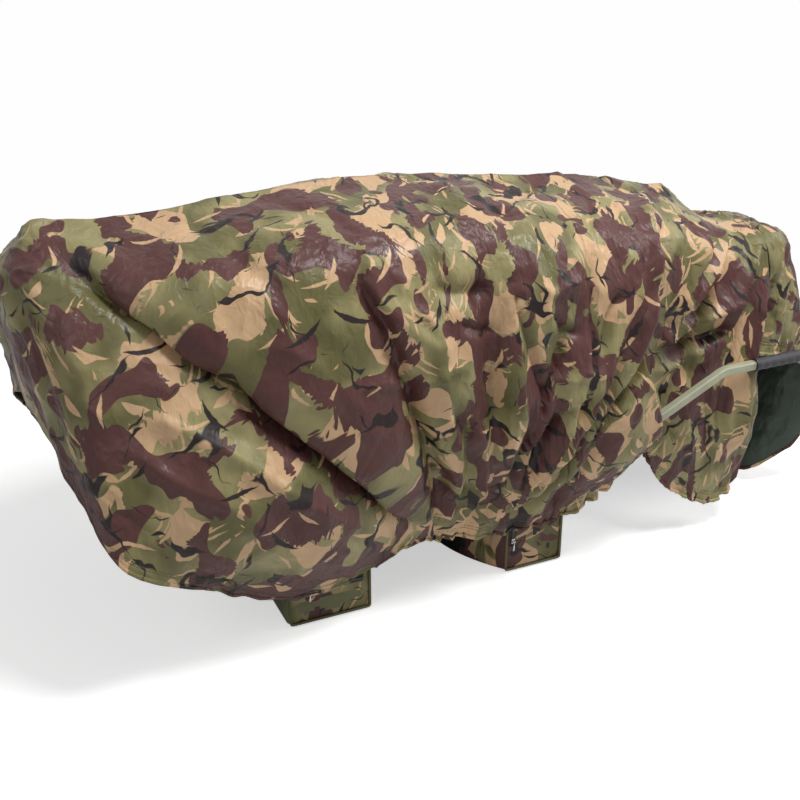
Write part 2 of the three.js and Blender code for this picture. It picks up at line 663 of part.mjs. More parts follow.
const zipGroup = new THREE.Group();
part.add(zipGroup);
const frontZipLeft = frontBagCentre - frontZipLength / 2;
const rearZipX = rearBagCentre - rearBagLength / 2 + rearZipSetback;
for (const [name, x, z, length, turned, sliderX, sliderZ] of [
  ['front', frontBagCentre, frontZipHeight, frontZipLength, false,
    frontZipLeft + frontSliderStart, frontZipHeight],
  ['rear', rearZipX, rearZipFoot + rearZipLength / 2, rearZipLength, true, rearZipX,
    rearZipFoot + rearSliderStart],
]) {
  const tape = boxAt(length, tapeWidth, tapeThickness, 0, 0, tapeThickness / 2);
  addPiece(`${name}_zip_tape`, ontoBag(tape, x, z, turned), darkNylon, zipGroup);
  const coil = zipCoil(length).translate(0, 0, coilSeat);
  addPiece(`${name}_zip_coil`, ontoBag(coil, x, z, turned), blackPlastic, zipGroup);
  addPiece(`${name}_zip_slider`, ontoBag(zipSlider(turned), sliderX, sliderZ, false), brightMetal, zipGroup);
  addPiece(`${name}_zip_pull`, ontoBag(zipPull(), sliderX, sliderZ, false), brightMetal, zipGroup);
}

// Cover
function heightOf(share) {
  if (share <= 1) {
    return share * railAxisHeight;
  }
  return railAxisHeight + (share - 1) * loadHeight;
}

// The five points of a rib; on the far side it is mirrored and its shoulder hangs lower.
function ribPoints(row, far) {
  return [0, 1, 2, 3, 4].map((level) => {
    const [x, y, z] = row.slice(3 * level, 3 * level + 3);
    const mirrored = far && level < 4 ? -y : y;
    const drop = far && level === 3 ? farShoulderDrop : 0;
    return new THREE.Vector3(x * railLength, mirrored * railHalfSpacing, heightOf(z) - drop);
  });
}

// A grid of points over neighbouring ribs: columns run from rib to rib, rows from hem to ridge.
// Ribs that end in one point keep it between them.
function clothGrid(ribs) {
  const columns = (ribs.length - 1) * columnsPerRib;
  const runs = [0, 1, 2, 3, 4].map((level) =>
    new THREE.CatmullRomCurve3(ribs.map((rib) => rib[level]), false, 'catmullrom'));
  return Array.from({ length: columns + 1 }, (_, column) => {
    const points = runs.map((run) => run.getPoint(column / columns));
    const before = ribs[Math.floor(column / columnsPerRib)][4];
    const after = ribs[Math.ceil(column / columnsPerRib)][4];
    if (before.equals(after)) {
      points[4].copy(before);
    }
    const rise = new THREE.CatmullRomCurve3(points, false, 'catmullrom');
    return Array.from({ length: clothRows + 1 }, (__, row) => rise.getPoint(row / clothRows));
  });
}

const nearRibs = (rows) => rows.map((row) => ribPoints(row, false)).reverse();
const farRibs = (rows) => rows.map((row) => ribPoints(row, true));
const plainRibs = (rows) => rows.map((row) => ribPoints(row, false));

// All grids run clockwise seen from above: back along the near side, round the front and back
// along the far side.
const frontGrid = clothGrid([
  ...nearRibs(sideRibShares), ...plainRibs(frontRibShares), ...farRibs(sideRibShares)]);
const middleNearGrid = clothGrid(nearRibs(middleRibShares));
const middleFarGrid = clothGrid(farRibs(middleRibShares));
const rearNearGrid = clothGrid(nearRibs(rearRibShares));
const rearFarGrid = clothGrid(farRibs(rearRibShares));
const tailGrid = clothGrid(plainRibs(tailRibShares));

// Above the shoulders the panels share their edges; below them the cover is slit for the handles.
const slitRow = (3 * clothRows) / 4;
function shareEdge(grid, column, otherGrid, otherColumn) {
  for (let row = slitRow; row <= clothRows; row += 1) {
    grid.at(column)[row].copy(otherGrid.at(otherColumn)[row]);
  }
}
shareEdge(rearNearGrid, -1, middleNearGrid, 0);
shareEdge(rearFarGrid, 0, middleFarGrid, -1);
shareEdge(tailGrid, 0, rearFarGrid, -1);
shareEdge(tailGrid, -1, rearNearGrid, 0);

const panels = [
  { name: 'cover_front_panel', grids: [frontGrid] },
  { name: 'cover_middle_panel', grids: [middleNearGrid, middleFarGrid] },
  { name: 'cover_rear_panel', grids: [rearNearGrid, rearFarGrid] },
  { name: 'cover_tail_panel', grids: [tailGrid] },
];

// The whole skin as one set of shared points, so that the panels meet and bend alike at their seams
const weldTolerance = railLength / 1e6;
const skinPoints = [];
const skinIndex = new Map();
function skinPoint(point) {
  const key = point.toArray().map((value) => Math.round(value / weldTolerance)).join(' ');
  if (!skinIndex.has(key)) {
    skinIndex.set(key, skinPoints.length);
    skinPoints.push({ place: point.clone(), normal: new THREE.Vector3(), panels: new Set() });
  }
  return skinIndex.get(key);
}

panels.forEach((panel, order) => {
  panel.triangles = [];
  panel.grids.forEach((grid) => {
    for (let column = 0; column < grid.length - 1; column += 1) {
      for (let row = 0; row < clothRows; row += 1) {
        const corners = [
          grid[column][row], grid[column][row + 1], grid[column + 1][row + 1], grid[column + 1][row],
        ].map(skinPoint);
        for (const triangle of [[0, 1, 2], [0, 2, 3]]) {
          const ids = triangle.map((corner) => corners[corner]);
          if (new Set(ids).size === 3) {
            panel.triangles.push(ids);
            ids.forEach((id) => skinPoints[id].panels.add(order));
          }
        }
      }
    }
  });
});

function settleNormals() {
  skinPoints.forEach((point) => point.normal.set(0, 0, 0));
  panels.forEach((panel) => panel.triangles.forEach(([a, b, c]) => {
    const [pa, pb, pc] = [a, b, c].map((id) => skinPoints[id].place);
    const face = pb.clone().sub(pa).cross(pc.clone().sub(pa));
    [a, b, c].forEach((id) => skinPoints[id].normal.add(face));
  }));
  skinPoints.forEach((point) => point.normal.normalize());
}

// How far a point of the skin is drawn in by the main folds; each fold fades towards its ends.
function foldDepth(place) {
  let depth = 0;
  for (const fold of mainFolds) {
    const line = fold.lineShares.map(([x, z]) => new THREE.Vector3(x * railLength, 0, heightOf(z)));
    const flat = new THREE.Vector3(place.x, 0, place.z);
    let nearest = Infinity;
    let along = 0;
    for (let leg = 0; leg < line.length - 1; leg += 1) {
      const segment = new THREE.Line3(line[leg], line[leg + 1]);
      const share = segment.closestPointToPointParameter(flat, true);
      const distance = segment.at(share, new THREE.Vector3()).distanceTo(flat);
      if (distance < nearest) {
        nearest = distance;
        along = (leg + share) / (line.length - 1);
      }
    }
    if (nearest < fold.spread) {
      const across = 0.5 + 0.5 * Math.cos((Math.PI * nearest) / fold.spread);
      depth += fold.depth * across * Math.sin(Math.PI * along);
    }
  }
  return depth;
}

settleNormals();
skinPoints.forEach((point) => {
  point.place.addScaledVector(point.normal, -foldDepth(point.place));
});
settleNormals();

// A panel's outer and inner side, joined along its edges; shared edges are held half a seam apart.
function panelPlaces(order, id) {
  const point = skinPoints[id];
  const outer = point.place.clone();
  if (point.panels.size > 1) {
    outer.x += order === Math.min(...point.panels) ? -seamGap / 2 : seamGap / 2;
  }
  const inner = outer.clone().addScaledVector(point.normal, -clothWall);
  return { outer, inner };
}

function panelBody(panel, order) {
  const ids = [...new Set(panel.triangles.flat())];
  const slots = new Map(ids.map((id, slot) => [id, slot]));
  const outer = ids.map((id) => panelPlaces(order, id).outer);
  const inner = ids.map((id) => panelPlaces(order, id).inner);
  const triangles = [];
  const edges = new Map();
  panel.triangles.forEach((triangle) => {
    const [a, b, c] = triangle.map((id) => slots.get(id));
    triangles.push([a, b, c], [a + ids.length, c + ids.length, b + ids.length]);
    for (const [from, to] of [[a, b], [b, c], [c, a]]) {
      edges.set(`${from} ${to}`, [from, to]);
    }
  });
  edges.forEach(([from, to]) => {
    if (!edges.has(`${to} ${from}`)) {
      triangles.push([from, from + ids.length, to + ids.length], [from, to + ids.length, to]);
    }
  });
  return closedBody([...outer, ...inner], triangles);
}

const coverGroup = new THREE.Group();
part.add(coverGroup);
panels.forEach((panel, order) => {
  addPiece(panel.name, panelBody(panel, order), camouflage, coverGroup);
});

// Elastic casings: a round tube just under each stretch of hem, square to the sheet's own thickness
function hemCasing(columns) {
  const hem = columns.map(([foot, above]) => {
    const low = skinPoints[skinPoint(foot)];
    const up = skinPoints[skinPoint(above)].place.clone().sub(low.place);
    const middle = low.place.clone().addScaledVector(low.normal, -clothWall / 2);
    return { up, middle, normal: low.normal };
  });
  const sides = 6;
  const drop = casingRadius * Math.cos(Math.PI / sides) + casingGap;
  const rings = hem.map(({ up, middle, normal }, index) => {
    const before = hem[Math.max(index - 1, 0)].middle;
    const after = hem[Math.min(index + 1, hem.length - 1)].middle;
    const along = after.clone().sub(before).normalize();
    const upright = new THREE.Vector3().crossVectors(along, normal).normalize();
    upright.multiplyScalar(Math.sign(upright.dot(up)));
    const across = new THREE.Vector3().crossVectors(upright, along).normalize();
    const centre = middle.clone().addScaledVector(upright, -drop);
    return roundSection(casingRadius, sides).map(([a, b]) =>
      centre.clone().addScaledVector(across, b).addScaledVector(upright, a));
  });
  return skinRings(rings);
}

function hemColumns(hemPlaces) {
  return hemPlaces.filter((column, index) => index === 0
    || skinPoint(column[0]) !== skinPoint(hemPlaces[index - 1][0]));
}

const baseHems = {
  hem_casing_front: [...middleNearGrid, ...frontGrid, ...middleFarGrid],
  hem_casing_rear_left: rearNearGrid,
  hem_casing_rear_right: rearFarGrid,
  hem_casing_tail: tailGrid,
};
Object.entries(baseHems).forEach(([name, grid]) => {
  const columns = hemColumns(grid.map((column) => [column[0], column[1]]));
  addPiece(name, hemCasing(columns), oliveWebbing, coverGroup);
});

// Load: a square carryall on the cross tubes, a long holdall on it that carries the ridge of the
// cover, and a smaller bag on the rear hoop
const carryallFront = crossTubeStations[1];
const carryallRear = railRearEnd - handleInsertion / 2;

function cushionedBox(from, to, halfWidth, foot, top, edge) {
  const outline = roundedOutline(to - from, 2 * halfWidth, edge);
  const body = new THREE.ExtrudeGeometry(outline, {
    depth: top - foot - edge,
    bevelThickness: edge / 2,
    bevelSize: edge / 2,
    bevelOffset: -edge / 2,
    bevelSegments: 2,
    curveSegments: 3,
  });
  return body.translate((from + to) / 2, 0, foot + edge / 2);
}

const loadGroup = new THREE.Group();
part.add(loadGroup);
addPiece('load_carryall',
  cushionedBox(carryallFront, carryallRear, carryallHalfWidth, carryallFoot, carryallTop, carryallEdge),
  darkNylon, loadGroup);
const rearLoadFront = hoopStart + weldGap;
addPiece('load_rear_bag',
  cushionedBox(rearLoadFront, rearLoadFront + rearLoadLength, (hoopWidth + crossTubeWidth) / 2, carryallFoot,
    carryallFoot + rearLoadHeight, carryallEdge),
  darkNylon, loadGroup);

// The top of the holdall follows the inside of the cover: one seat gap below its ridge, slacker beside it.
{
  const foot = carryallTop + seatGap;
  const lastColumn = frontGrid.length - 1;
  const sideColumns = (sideRibShares.length - 1) * columnsPerRib;
  const inside = (column, row, slack) => {
    const place = panelPlaces(0, skinPoint(frontGrid[column][row])).inner;
    place.z -= slack;
    return place;
  };
  const rings = Array.from({ length: sideColumns }, (_, step) => {
    const near = step + 1;
    const far = lastColumn - near;
    const top = [
      inside(near, clothRows - 2, holdallSlack),
      inside(near, clothRows - 1, holdallSlack),
      inside(near, clothRows, seatGap),
      inside(far, clothRows - 1, holdallSlack),
      inside(far, clothRows - 2, holdallSlack),
    ];
    const bottom = [top[4], top[0]].map((place) => new THREE.Vector3(place.x, place.y, foot));
    return [...top, ...bottom];
  });
  addPiece('load_holdall', skinRings(rings), darkNylon, loadGroup);
}

export default part;
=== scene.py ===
import math
import bpy
import bmesh
import numpy as np
from mathutils import Matrix, Vector, noise
from mathutils.bvhtree import BVHTree


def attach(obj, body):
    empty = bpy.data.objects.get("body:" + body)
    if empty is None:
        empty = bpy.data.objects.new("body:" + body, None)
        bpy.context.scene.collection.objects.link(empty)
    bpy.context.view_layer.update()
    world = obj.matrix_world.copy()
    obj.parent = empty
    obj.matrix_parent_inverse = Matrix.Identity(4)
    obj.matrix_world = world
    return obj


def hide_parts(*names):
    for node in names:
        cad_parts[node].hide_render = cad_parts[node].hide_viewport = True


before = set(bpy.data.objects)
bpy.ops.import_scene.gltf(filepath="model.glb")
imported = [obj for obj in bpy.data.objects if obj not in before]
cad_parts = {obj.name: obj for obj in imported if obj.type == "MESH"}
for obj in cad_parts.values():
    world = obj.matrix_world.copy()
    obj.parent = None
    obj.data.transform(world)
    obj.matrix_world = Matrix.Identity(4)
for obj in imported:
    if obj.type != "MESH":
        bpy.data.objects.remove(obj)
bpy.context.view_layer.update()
scene = bpy.context.scene

# ---------------------------------------------------------------- studio
# A camera at eye level off the carrier's near front corner, looking down on it,
# over a plain pale floor in soft even light.


class Shader:
    """Short ways to add nodes to an emptied tree, with values or links given by input name or number."""

    def __init__(self, tree):
        self.tree = tree
        tree.nodes.clear()

    def add(self, kind, values=(), **settings):
        node = self.tree.nodes.new(kind if kind.startswith("Node") else "ShaderNode" + kind)
        for key, value in settings.items():
            setattr(node, key, value)
        for key, value in dict(values).items():
            if isinstance(value, bpy.types.NodeSocket):
                self.tree.links.new(value, node.inputs[key])
            else:
                node.inputs[key].default_value = value
        return node

    def number(self, kind, a, b=0.5):
        return self.add("Math", {0: a, 1: b}, operation=kind).outputs[0]

    def vector(self, kind, a, b=(0.0, 0.0, 0.0), output=0, **scale):
        return self.add("VectorMath", {0: a, 1: b, **scale}, operation=kind).outputs[output]

    def noise(self, place, scale, detail=1.0, rough=0.5, output="Fac"):
        return self.add("TexNoise", {"Vector": place, "Scale": scale, "Detail": detail,
                                     "Roughness": rough}).outputs[output]

    def ramp(self, value, low=0.0, high=1.0, to_low=0.0, to_high=1.0):
        return self.add("MapRange", {"Value": value, "From Min": low, "From Max": high,
                                     "To Min": to_low, "To Max": to_high}).outputs["Result"]

    def over(self, mask, below, top):
        return self.add("Mix", {"Factor": mask, 6: below, 7: top}, data_type="RGBA").outputs[2]

    def mottled(self, mask, colour, low, high):
        """The colour, darker and lighter by turns."""
        return self.over(mask, *(tuple(part * factor for part in colour) + (1,) for factor in (low, high)))

    def bump(self, height, strength, distance, **below):
        return self.add("Bump", {"Strength": strength, "Distance": distance, "Height": height,
                                 **below}).outputs[0]

    def surface(self, values):
        self.add("OutputMaterial", {"Surface": self.add("BsdfPrincipled", values).outputs[0]})


def new_material(name):
    material = bpy.data.materials.new(name)
    material.use_nodes = True
    return material, Shader(material.node_tree)


def aimed(thing, place, target):
    """Stands a camera or a lamp in the scene so that it looks at the target."""
    scene.collection.objects.link(thing)
    thing.location = place
    thing.rotation_euler = (Vector(target) - thing.location).to_track_quat("-Z", "Y").to_euler()


camera_data = bpy.data.cameras.new("studio_camera")
camera_data.sensor_width = 36.0
camera_data.lens = 58.5
studio_camera = bpy.data.objects.new("studio_camera", camera_data)
aimed(studio_camera, (-0.7885, -2.348, 1.647), (0.2125, -0.10, 0.42))
scene.camera = studio_camera

floor_mesh = bmesh.new()
bmesh.ops.create_grid(floor_mesh, x_segments=1, y_segments=1, size=9.0,
                      matrix=Matrix.Translation((0.2, 0.0, -0.001)))
floor_data = bpy.data.meshes.new("floor")
floor_mesh.to_mesh(floor_data)
floor_mesh.free()
floor = bpy.data.objects.new("floor", floor_data)
scene.collection.objects.link(floor)

# The paper glows a little for the camera and fades to white round the carrier
floor_paper, nodes = new_material("floor_paper")
paper = nodes.add("BsdfDiffuse", {"Color": (0.90, 0.90, 0.89, 1)}).outputs[0]
glow = nodes.add("Emission", {"Color": (1, 1, 1, 1), "Strength": 0.55}).outputs[0]
far_white = nodes.add("Emission", {"Color": (0.99, 0.99, 0.99, 1), "Strength": 1.0}).outputs[0]
both = nodes.add("AddShader", {0: paper, 1: glow}).outputs[0]
from_middle = nodes.vector("DISTANCE", nodes.add("TexCoord").outputs["Object"], (0.35, 0.0, -0.001), "Value")
fading = nodes.add("MapRange", {"Value": from_middle, "From Min": 1.1, "From Max": 2.6},
                   interpolation_type="SMOOTHSTEP").outputs["Result"]
faded = nodes.add("MixShader", {0: fading, 1: both, 2: far_white}).outputs[0]
to_camera = nodes.add("LightPath").outputs["Is Camera Ray"]
white_floor = nodes.add("MixShader", {0: to_camera, 1: paper, 2: faded}).outputs[0]
nodes.add("OutputMaterial", {"Surface": white_floor})
floor_data.materials.append(floor_paper)

# The air is dim, but white to the camera and where a surface mirrors it
studio_air = bpy.data.worlds.new("studio_air")
scene.world = studio_air
studio_air.use_nodes = True
nodes = Shader(studio_air.node_tree)
dim = nodes.add("Background", {"Color": (0.98, 0.99, 1.0, 1), "Strength": 0.18}).outputs[0]
bright = nodes.add("Background", {"Color": (0.99, 0.99, 0.99, 1), "Strength": 1.0}).outputs[0]
rays = nodes.add("LightPath").outputs
shown = nodes.number("MAXIMUM", rays["Is Camera Ray"], rays["Is Glossy Ray"])
shown = nodes.number("MAXIMUM", shown, rays["Is Transmission Ray"])
nodes.add("OutputWorld", {"Surface": nodes.add("MixShader", {0: shown, 1: dim, 2: bright}).outputs[0]})

for lamp_name, place, size, power in (
    ("soft_box_left", (-2.4, -1.8, 2.6), 1.3, 22.0),
    ("soft_box_top", (0.9, -1.05, 3.1), 1.0, 70.0),
    ("soft_box_right", (2.9, -1.0, 2.1), 1.0, 30.0),
):
    lamp_data = bpy.data.lights.new(lamp_name, "AREA")
    lamp_data.shape = "DISK"
    lamp_data.size = size
    lamp_data.energy = power
    aimed(bpy.data.objects.new(lamp_name, lamp_data), place, (0.25, 0.0, 0.45))

scene.view_settings.view_transform = "Standard"

# ---------------------------------------------------------------- cover cloth
# The cover is coated nylon printed in four woodland colours, with a dark green
# waterproof coating inside. The print lies on the cloth, so it is worked out at
# the place that each point of the cloth had before the folds.


def node_group(name, inputs, outputs):
    """A node group with vector inputs, and the ways to fill it."""
    tree = bpy.data.node_groups.new(name, "ShaderNodeTree")
    for socket_name in inputs:
        tree.interface.new_socket(socket_name, in_out="INPUT", socket_type="NodeSocketVector")
    for socket_name, kind in outputs.items():
        tree.interface.new_socket(socket_name, in_out="OUTPUT", socket_type="NodeSocket" + kind)
    nodes = Shader(tree)
    given = nodes.add("NodeGroupInput").outputs
    return tree, nodes, [given[socket_name] for socket_name in inputs]


def woodland_print():
    """Colour of the print at a place of the cloth: blobs with brushed ends, twigs and strokes."""
    tree, nodes, (place, out_of) = node_group("woodland_print", ("Place", "Out"), {"Color": "Color"})
    number, vector, noise, ramp, over = nodes.number, nodes.vector, nodes.noise, nodes.ramp, nodes.over

    def moved(by):
        return vector("ADD", place, by)

    def wavy(by, scale, warp):
        """The places, pushed to and fro a little."""
        push = vector("SUBTRACT", noise(moved(by), scale, output="Color"), (0.5, 0.5, 0.5))
        return vector("ADD", moved(by), vector("SCALE", push, Scale=warp))

    def cell(by, scale):
        """A cell of the cloth near each place: two lengths across it and three chances."""
        source = moved(by)
        tiles = nodes.add("TexVoronoi", {"Vector": source, "Scale": scale, "Randomness": 0.9}).outputs
        from_middle = vector("SUBTRACT", source, tiles["Position"])
        lean = vector("SUBTRACT", tiles["Color"], (0.5, 0.5, 0.5))
        first = vector("NORMALIZE", vector("CROSS_PRODUCT", lean, out_of))
        second = vector("CROSS_PRODUCT", out_of, first)
        return (vector("DOT_PRODUCT", from_middle, first, output="Value"),
                vector("DOT_PRODUCT", from_middle, second, output="Value"),
                nodes.add("SeparateColor", {0: tiles["Color"]}).outputs)

    def stroke(by, scale, bend, half_length, half_width, keep, pair=0.0):
        """Mask of one curved brush stroke, or a pair, in each kept cell, pointed at both ends."""
        x, y, chance = cell(by, scale)
        rough = ramp(noise(moved(by), 55.0, 2.0, 0.6), to_low=-0.0032, to_high=0.0032)
        radius = ramp(chance[1], to_low=bend * 0.6, to_high=bend * 1.6)
        reach = number("SQRT", number("ADD", number("MULTIPLY", x, x),
                                      number("POWER", number("ADD", y, radius), 2.0)))
        away = number("ABSOLUTE", number("ADD", number("SUBTRACT", reach, radius), rough))
        if pair:
            away = number("ABSOLUTE", number("SUBTRACT", away, pair))
        ends = number("SUBTRACT", 1.0, number("POWER", number("DIVIDE", x, half_length), 2.0))
        width = number("MULTIPLY", ends, half_width)
        mask = ramp(number("SUBTRACT", width, away), -0.0006, 0.0006)
        return number("MULTIPLY", mask, number("LESS_THAN", chance[2], keep))

    def blobs(by, scale, warp, edge, bristle):
        """Mask of rounded blobs whose edge is brushed out into bristles on some sides."""
        source = vector("MULTIPLY", wavy(by, 15.0, warp), (1.32, 1.32, 1.06))
        x, y, chance = cell(by, 5.5)
        hairs = nodes.add("CombineXYZ", {0: number("MULTIPLY", x, 120.0), 1: number("MULTIPLY", y, 16.0),
                                         2: chance[0]}).outputs[0]
        hair = ramp(noise(hairs, 1.0), 0.25, 0.75, -1.0, 1.0)
        where = ramp(noise(moved(by), 9.0), 0.46, 0.60, 0.0, bristle)
        field = number("ADD", noise(source, scale, 1.0, 0.3), number("MULTIPLY", hair, where))
        return ramp(field, edge - 0.003, edge + 0.003)

    def twigs(by, scale, width, start, full):
        """Mask of dark twigs along the level lines of a noise, thinning out to points."""
        level = noise(wavy(by, 34.0, 0.02), scale, 1.0, 0.4)
        away = number("ABSOLUTE", number("SUBTRACT", level, 0.5))
        thick = ramp(noise(moved(by), 13.0), start, full, -0.010, width)
        return ramp(number("SUBTRACT", thick, away), -0.003, 0.003)

    sand = over(noise(moved((3, 1, 2)), 9.0, 2.0), (0.47, 0.300, 0.165, 1), (0.58, 0.385, 0.225, 1))
    green = over(ramp(noise(moved((7, 2, 5)), 7.0, 2.0), 0.42, 0.58), (0.122, 0.110, 0.042, 1),
                 (0.275, 0.240, 0.112, 1))
    brown = over(noise(moved((1, 8, 4)), 8.0, 2.0), (0.060, 0.021, 0.018, 1), (0.112, 0.046, 0.041, 1))
    soot = (0.018, 0.011, 0.011, 1)

    # The layers from the sand up, in the order in which they are printed. Each has its own place in the noise
    # and a scale; a stroke then has its bend, half length, half width and the share of cells that keep it.
    on_green = blobs((0.0, 0.0, 0.0), 8.0, 0.040, 0.434, 0.060)
    paired = stroke((2.0, 5.0, 8.0), 8.5, 0.100, 0.042, 0.0028, 0.6, pair=0.0070)
    brown_blobs = number("MAXIMUM", blobs((4.3, 1.7, 9.1), 8.8, 0.032, 0.568, 0.050),
                         blobs((7.1, 5.2, 2.3), 9.5, 0.030, 0.615, 0.050))
    colour = sand
    for mask, ink in (
        (on_green, green),
        (number("MULTIPLY", paired, on_green), sand),
        (stroke((6.0, 9.0, 3.0), 10.0, 0.085, 0.036, 0.0038, 0.55), sand),
        (stroke((8.0, 1.0, 6.0), 10.0, 0.060, 0.026, 0.0090, 0.35), sand),
        (stroke((5.5, 2.5, 7.5), 8.5, 0.080, 0.052, 0.0140, 0.5), green),
        (brown_blobs, brown),
        (stroke((3.0, 7.0, 2.0), 9.0, 0.100, 0.032, 0.0042, 0.5), sand),
        (twigs((9.0, 3.0, 1.0), 7.4, 0.025, 0.43, 0.68), soot),
        (twigs((2.0, 4.0, 7.0), 8.4, 0.026, 0.46, 0.70), soot),
        (stroke((1.5, 8.5, 4.5), 7.5, 0.090, 0.042, 0.0048, 0.22), soot),
    ):
        colour = over(mask, colour, ink)
    nodes.add("NodeGroupOutput", {"Color": colour})
    return tree


def nylon_surface():
    """Small crumples and the fine weave of coated nylon, as a height and a roughness."""
    tree, nodes, (place,) = node_group("nylon_surface", ("Place",), {"Height": "Float", "Dull": "Float"})
    number = nodes.number
    height = number("MULTIPLY", nodes.noise(place, 1100.0), 0.010)
    for scale, share, by in ((17.0, 1.0, 0.0), (39.0, 0.45, 5.0)):
        mapped = nodes.add("Mapping", {"Vector": place, "Location": (by, by, by), "Rotation": (0.0, 0.6, 0.0),
                                       "Scale": (1.0, 1.0, 0.55)}).outputs[0]
        wide = nodes.add("TexNoise", {"Vector": mapped, "Scale": scale, "Detail": 2.0, "Roughness": 0.55,
                                      "Distortion": 0.5}).outputs["Fac"]
        creased = number("ABSOLUTE", number("SUBTRACT", wide, 0.5))
        height = number("ADD", height, number("MULTIPLY", creased, -share))
    dull = nodes.ramp(nodes.noise(place, 9.0, 2.0), 0.3, 0.7, 0.32, 0.46)
    nodes.add("NodeGroupOutput", {"Height": height, "Dull": dull})
    return tree


woodland_tree = woodland_print()
nylon_tree = nylon_surface()


def stitch_rows(nodes, colour, bump):
    """The colour and bump of cloth with a double row of stitches along its hem."""
    number, ramp = nodes.number, nodes.ramp
    stitch, inset, half_gap = 0.0042, 0.0215, 0.0035
    hem = nodes.add("Attribute", attribute_name="hem_place").outputs["Vector"]
    along, climbed, _ = nodes.add("SeparateXYZ", {0: hem}).outputs
    dash = ramp(number("PINGPONG", along, stitch), 0.0010, 0.0015)
    rows = number("ABSOLUTE", number("SUBTRACT", climbed, inset))
    rows = number("ABSOLUTE", number("SUBTRACT", rows, half_gap))
    thread = ramp(rows, 0.0005, 0.0010, 1.0, 0.0)
    return (nodes.over(number("MULTIPLY", dash, thread), colour, (0.055, 0.052, 0.030, 1)),
            nodes.bump(ramp(rows, 0.0, 0.0030), 0.6, 0.0012, Normal=bump))


def cloth_material(name, tint=None, crumple=0.013, stitched=False):
    """Coated nylon: printed, or plain where a tint is given."""
    material, nodes = new_material(name)
    if tint is None:
        place, out_of = (nodes.add("Attribute", attribute_name=layer).outputs["Vector"]
                         for layer in ("cloth_place", "cloth_out"))
        colour = nodes.add("Group", {"Place": place, "Out": out_of}, node_tree=woodland_tree).outputs[0]
    else:
        place = nodes.add("TexCoord").outputs["Object"]
        colour = nodes.mottled(nodes.noise(place, 14.0, 3.0), tint, 0.7, 1.3)
    nylon = nodes.add("Group", {"Place": place}, node_tree=nylon_tree).outputs
    bump = nodes.bump(nylon["Height"], 0.8, crumple)
    if stitched:
        colour, bump = stitch_rows(nodes, colour, bump)
    nodes.surface({"Base Color": colour, "Roughness": nylon["Dull"], "Normal": bump,
                   "Specular IOR Level": 0.26, "Sheen Weight": 0.02})
    return material


# ---------------------------------------------------------------- cover shape
# The cover hangs from the ridge of the load. Each rib is the line of the cloth
# from its hem up to the ridge; the ribs follow each other back along the near
# side, round the front and back along the far side.
RAIL_LENGTH, HALF_SPACING, AXIS_HEIGHT, LOAD_HEIGHT = 0.955, 0.29, 0.355, 0.545
RIB_START_X = (0.5026 - 0.28) * RAIL_LENGTH

# Five points to a rib, in hundredths: x of the rails' length from the start, y of half the rails' spacing,
# z of the rails' height up to 100 and of the load's height from there on
side_rib_shares = [
    [-53, -107, 61, -56, -121, 101, -58, -109, 136, -60, -74, 180, -61, -14, 197],
    [-39, -95, 37, -42, -124, 85, -44, -119, 130, -46, -90, 182, -47, -14, 197],
    [-26, -89, 29, -27, -119, 70, -29, -124, 127, -31, -100, 185, -31, -14, 199],
    [-13, -86, 34, -14, -112, 70, -15, -124, 127, -15, -107, 187, -15, -14, 200],
    [0, -84, 43, 0, -105, 75, 0, -123, 127, 0, -107, 186, 0, -14, 199],
    [18, -86, 39, 18, -108, 76, 18, -125, 127, 19, -105, 183, 19, -14, 195],
    [31, -86, 37, 31, -109, 79, 31, -123, 127, 32, -103, 179, 32, -14, 192],
]
middle_rib_shares = [
    side_rib_shares[6],
    [44, -86, 48, 44, -112, 85, 42, -120, 127, 43, -101, 177, 47, -14, 189],
    [54, -86, 72, 53, -116, 100, 48, -117, 130, 52, -97, 176, 63, -14, 183],
]
rear_rib_shares = [
    [56, -84, 68, 54, -89, 97, 50, -90, 127, 52, -97, 176, 63, -14, 183],
    [63, -84, 42, 65, -88, 82, 66, -87, 117, 67, -78, 167, 70, -14, 179],
    [75, -86, 22, 77, -90, 70, 78, -89, 117, 77, -74, 160, 77, -14, 167.5],
    [83, -82, 26, 87, -84, 70, 88, -83, 114, 87, -71, 160, 85, -14, 162],
]
front_rib_shares = [
    [-68, -117, 89, -70, -105, 117, -72, -84, 145, -74, -52, 182, -73, -14, 199],
    [-73, -69, 106, -75, -64, 125, -77, -53, 149, -79, -34, 183, -73, -14, 199],
    [-77, 0, 124, -79, 0, 138, -80, 0, 156, -80, -3, 182, -73, -14, 199],
    [-78.5, 68, 120, -79, 63, 135, -79, 55, 152, -77, 31, 178, -73, -14, 199],
    [-72, 128, 90, -72, 116, 117, -72, 93, 145, -71, 52, 176, -73, -14, 199],
]
tail_rib_shares = [
    [89, 77, 34, 89, 77, 79, 89, 76, 116, 87, 71, 149, 85, -14, 162],
    [96, 55, 28, 96, 57, 76, 95, 57, 117, 92, 48, 151, 85, -14, 162],
    [99, 24, 23, 101, 28, 76, 100, 29, 119, 96, 22, 153, 85, -14, 162],
    [96, -10, 12, 101, -7, 73, 103, -3, 119, 98, -3, 155, 85, -14, 162],
    [101, -36, 13, 105, -36, 74, 103, -34, 121, 98, -24, 156, 85, -14, 162],
    [112, -57, 48, 110, -58, 90, 103, -59, 123, 97, -41, 157, 85, -14, 162],
    [107, -64, 93, 105, -66, 114, 99, -66, 136, 95, -53, 160, 85, -14, 162],
    [97, -71, 108, 97, -71, 121, 95, -71, 138, 91, -62, 162, 85, -14, 162],
    [89, -77, 112, 89, -77, 121, 89, -75, 136, 87, -71, 160, 85, -14, 162],
]


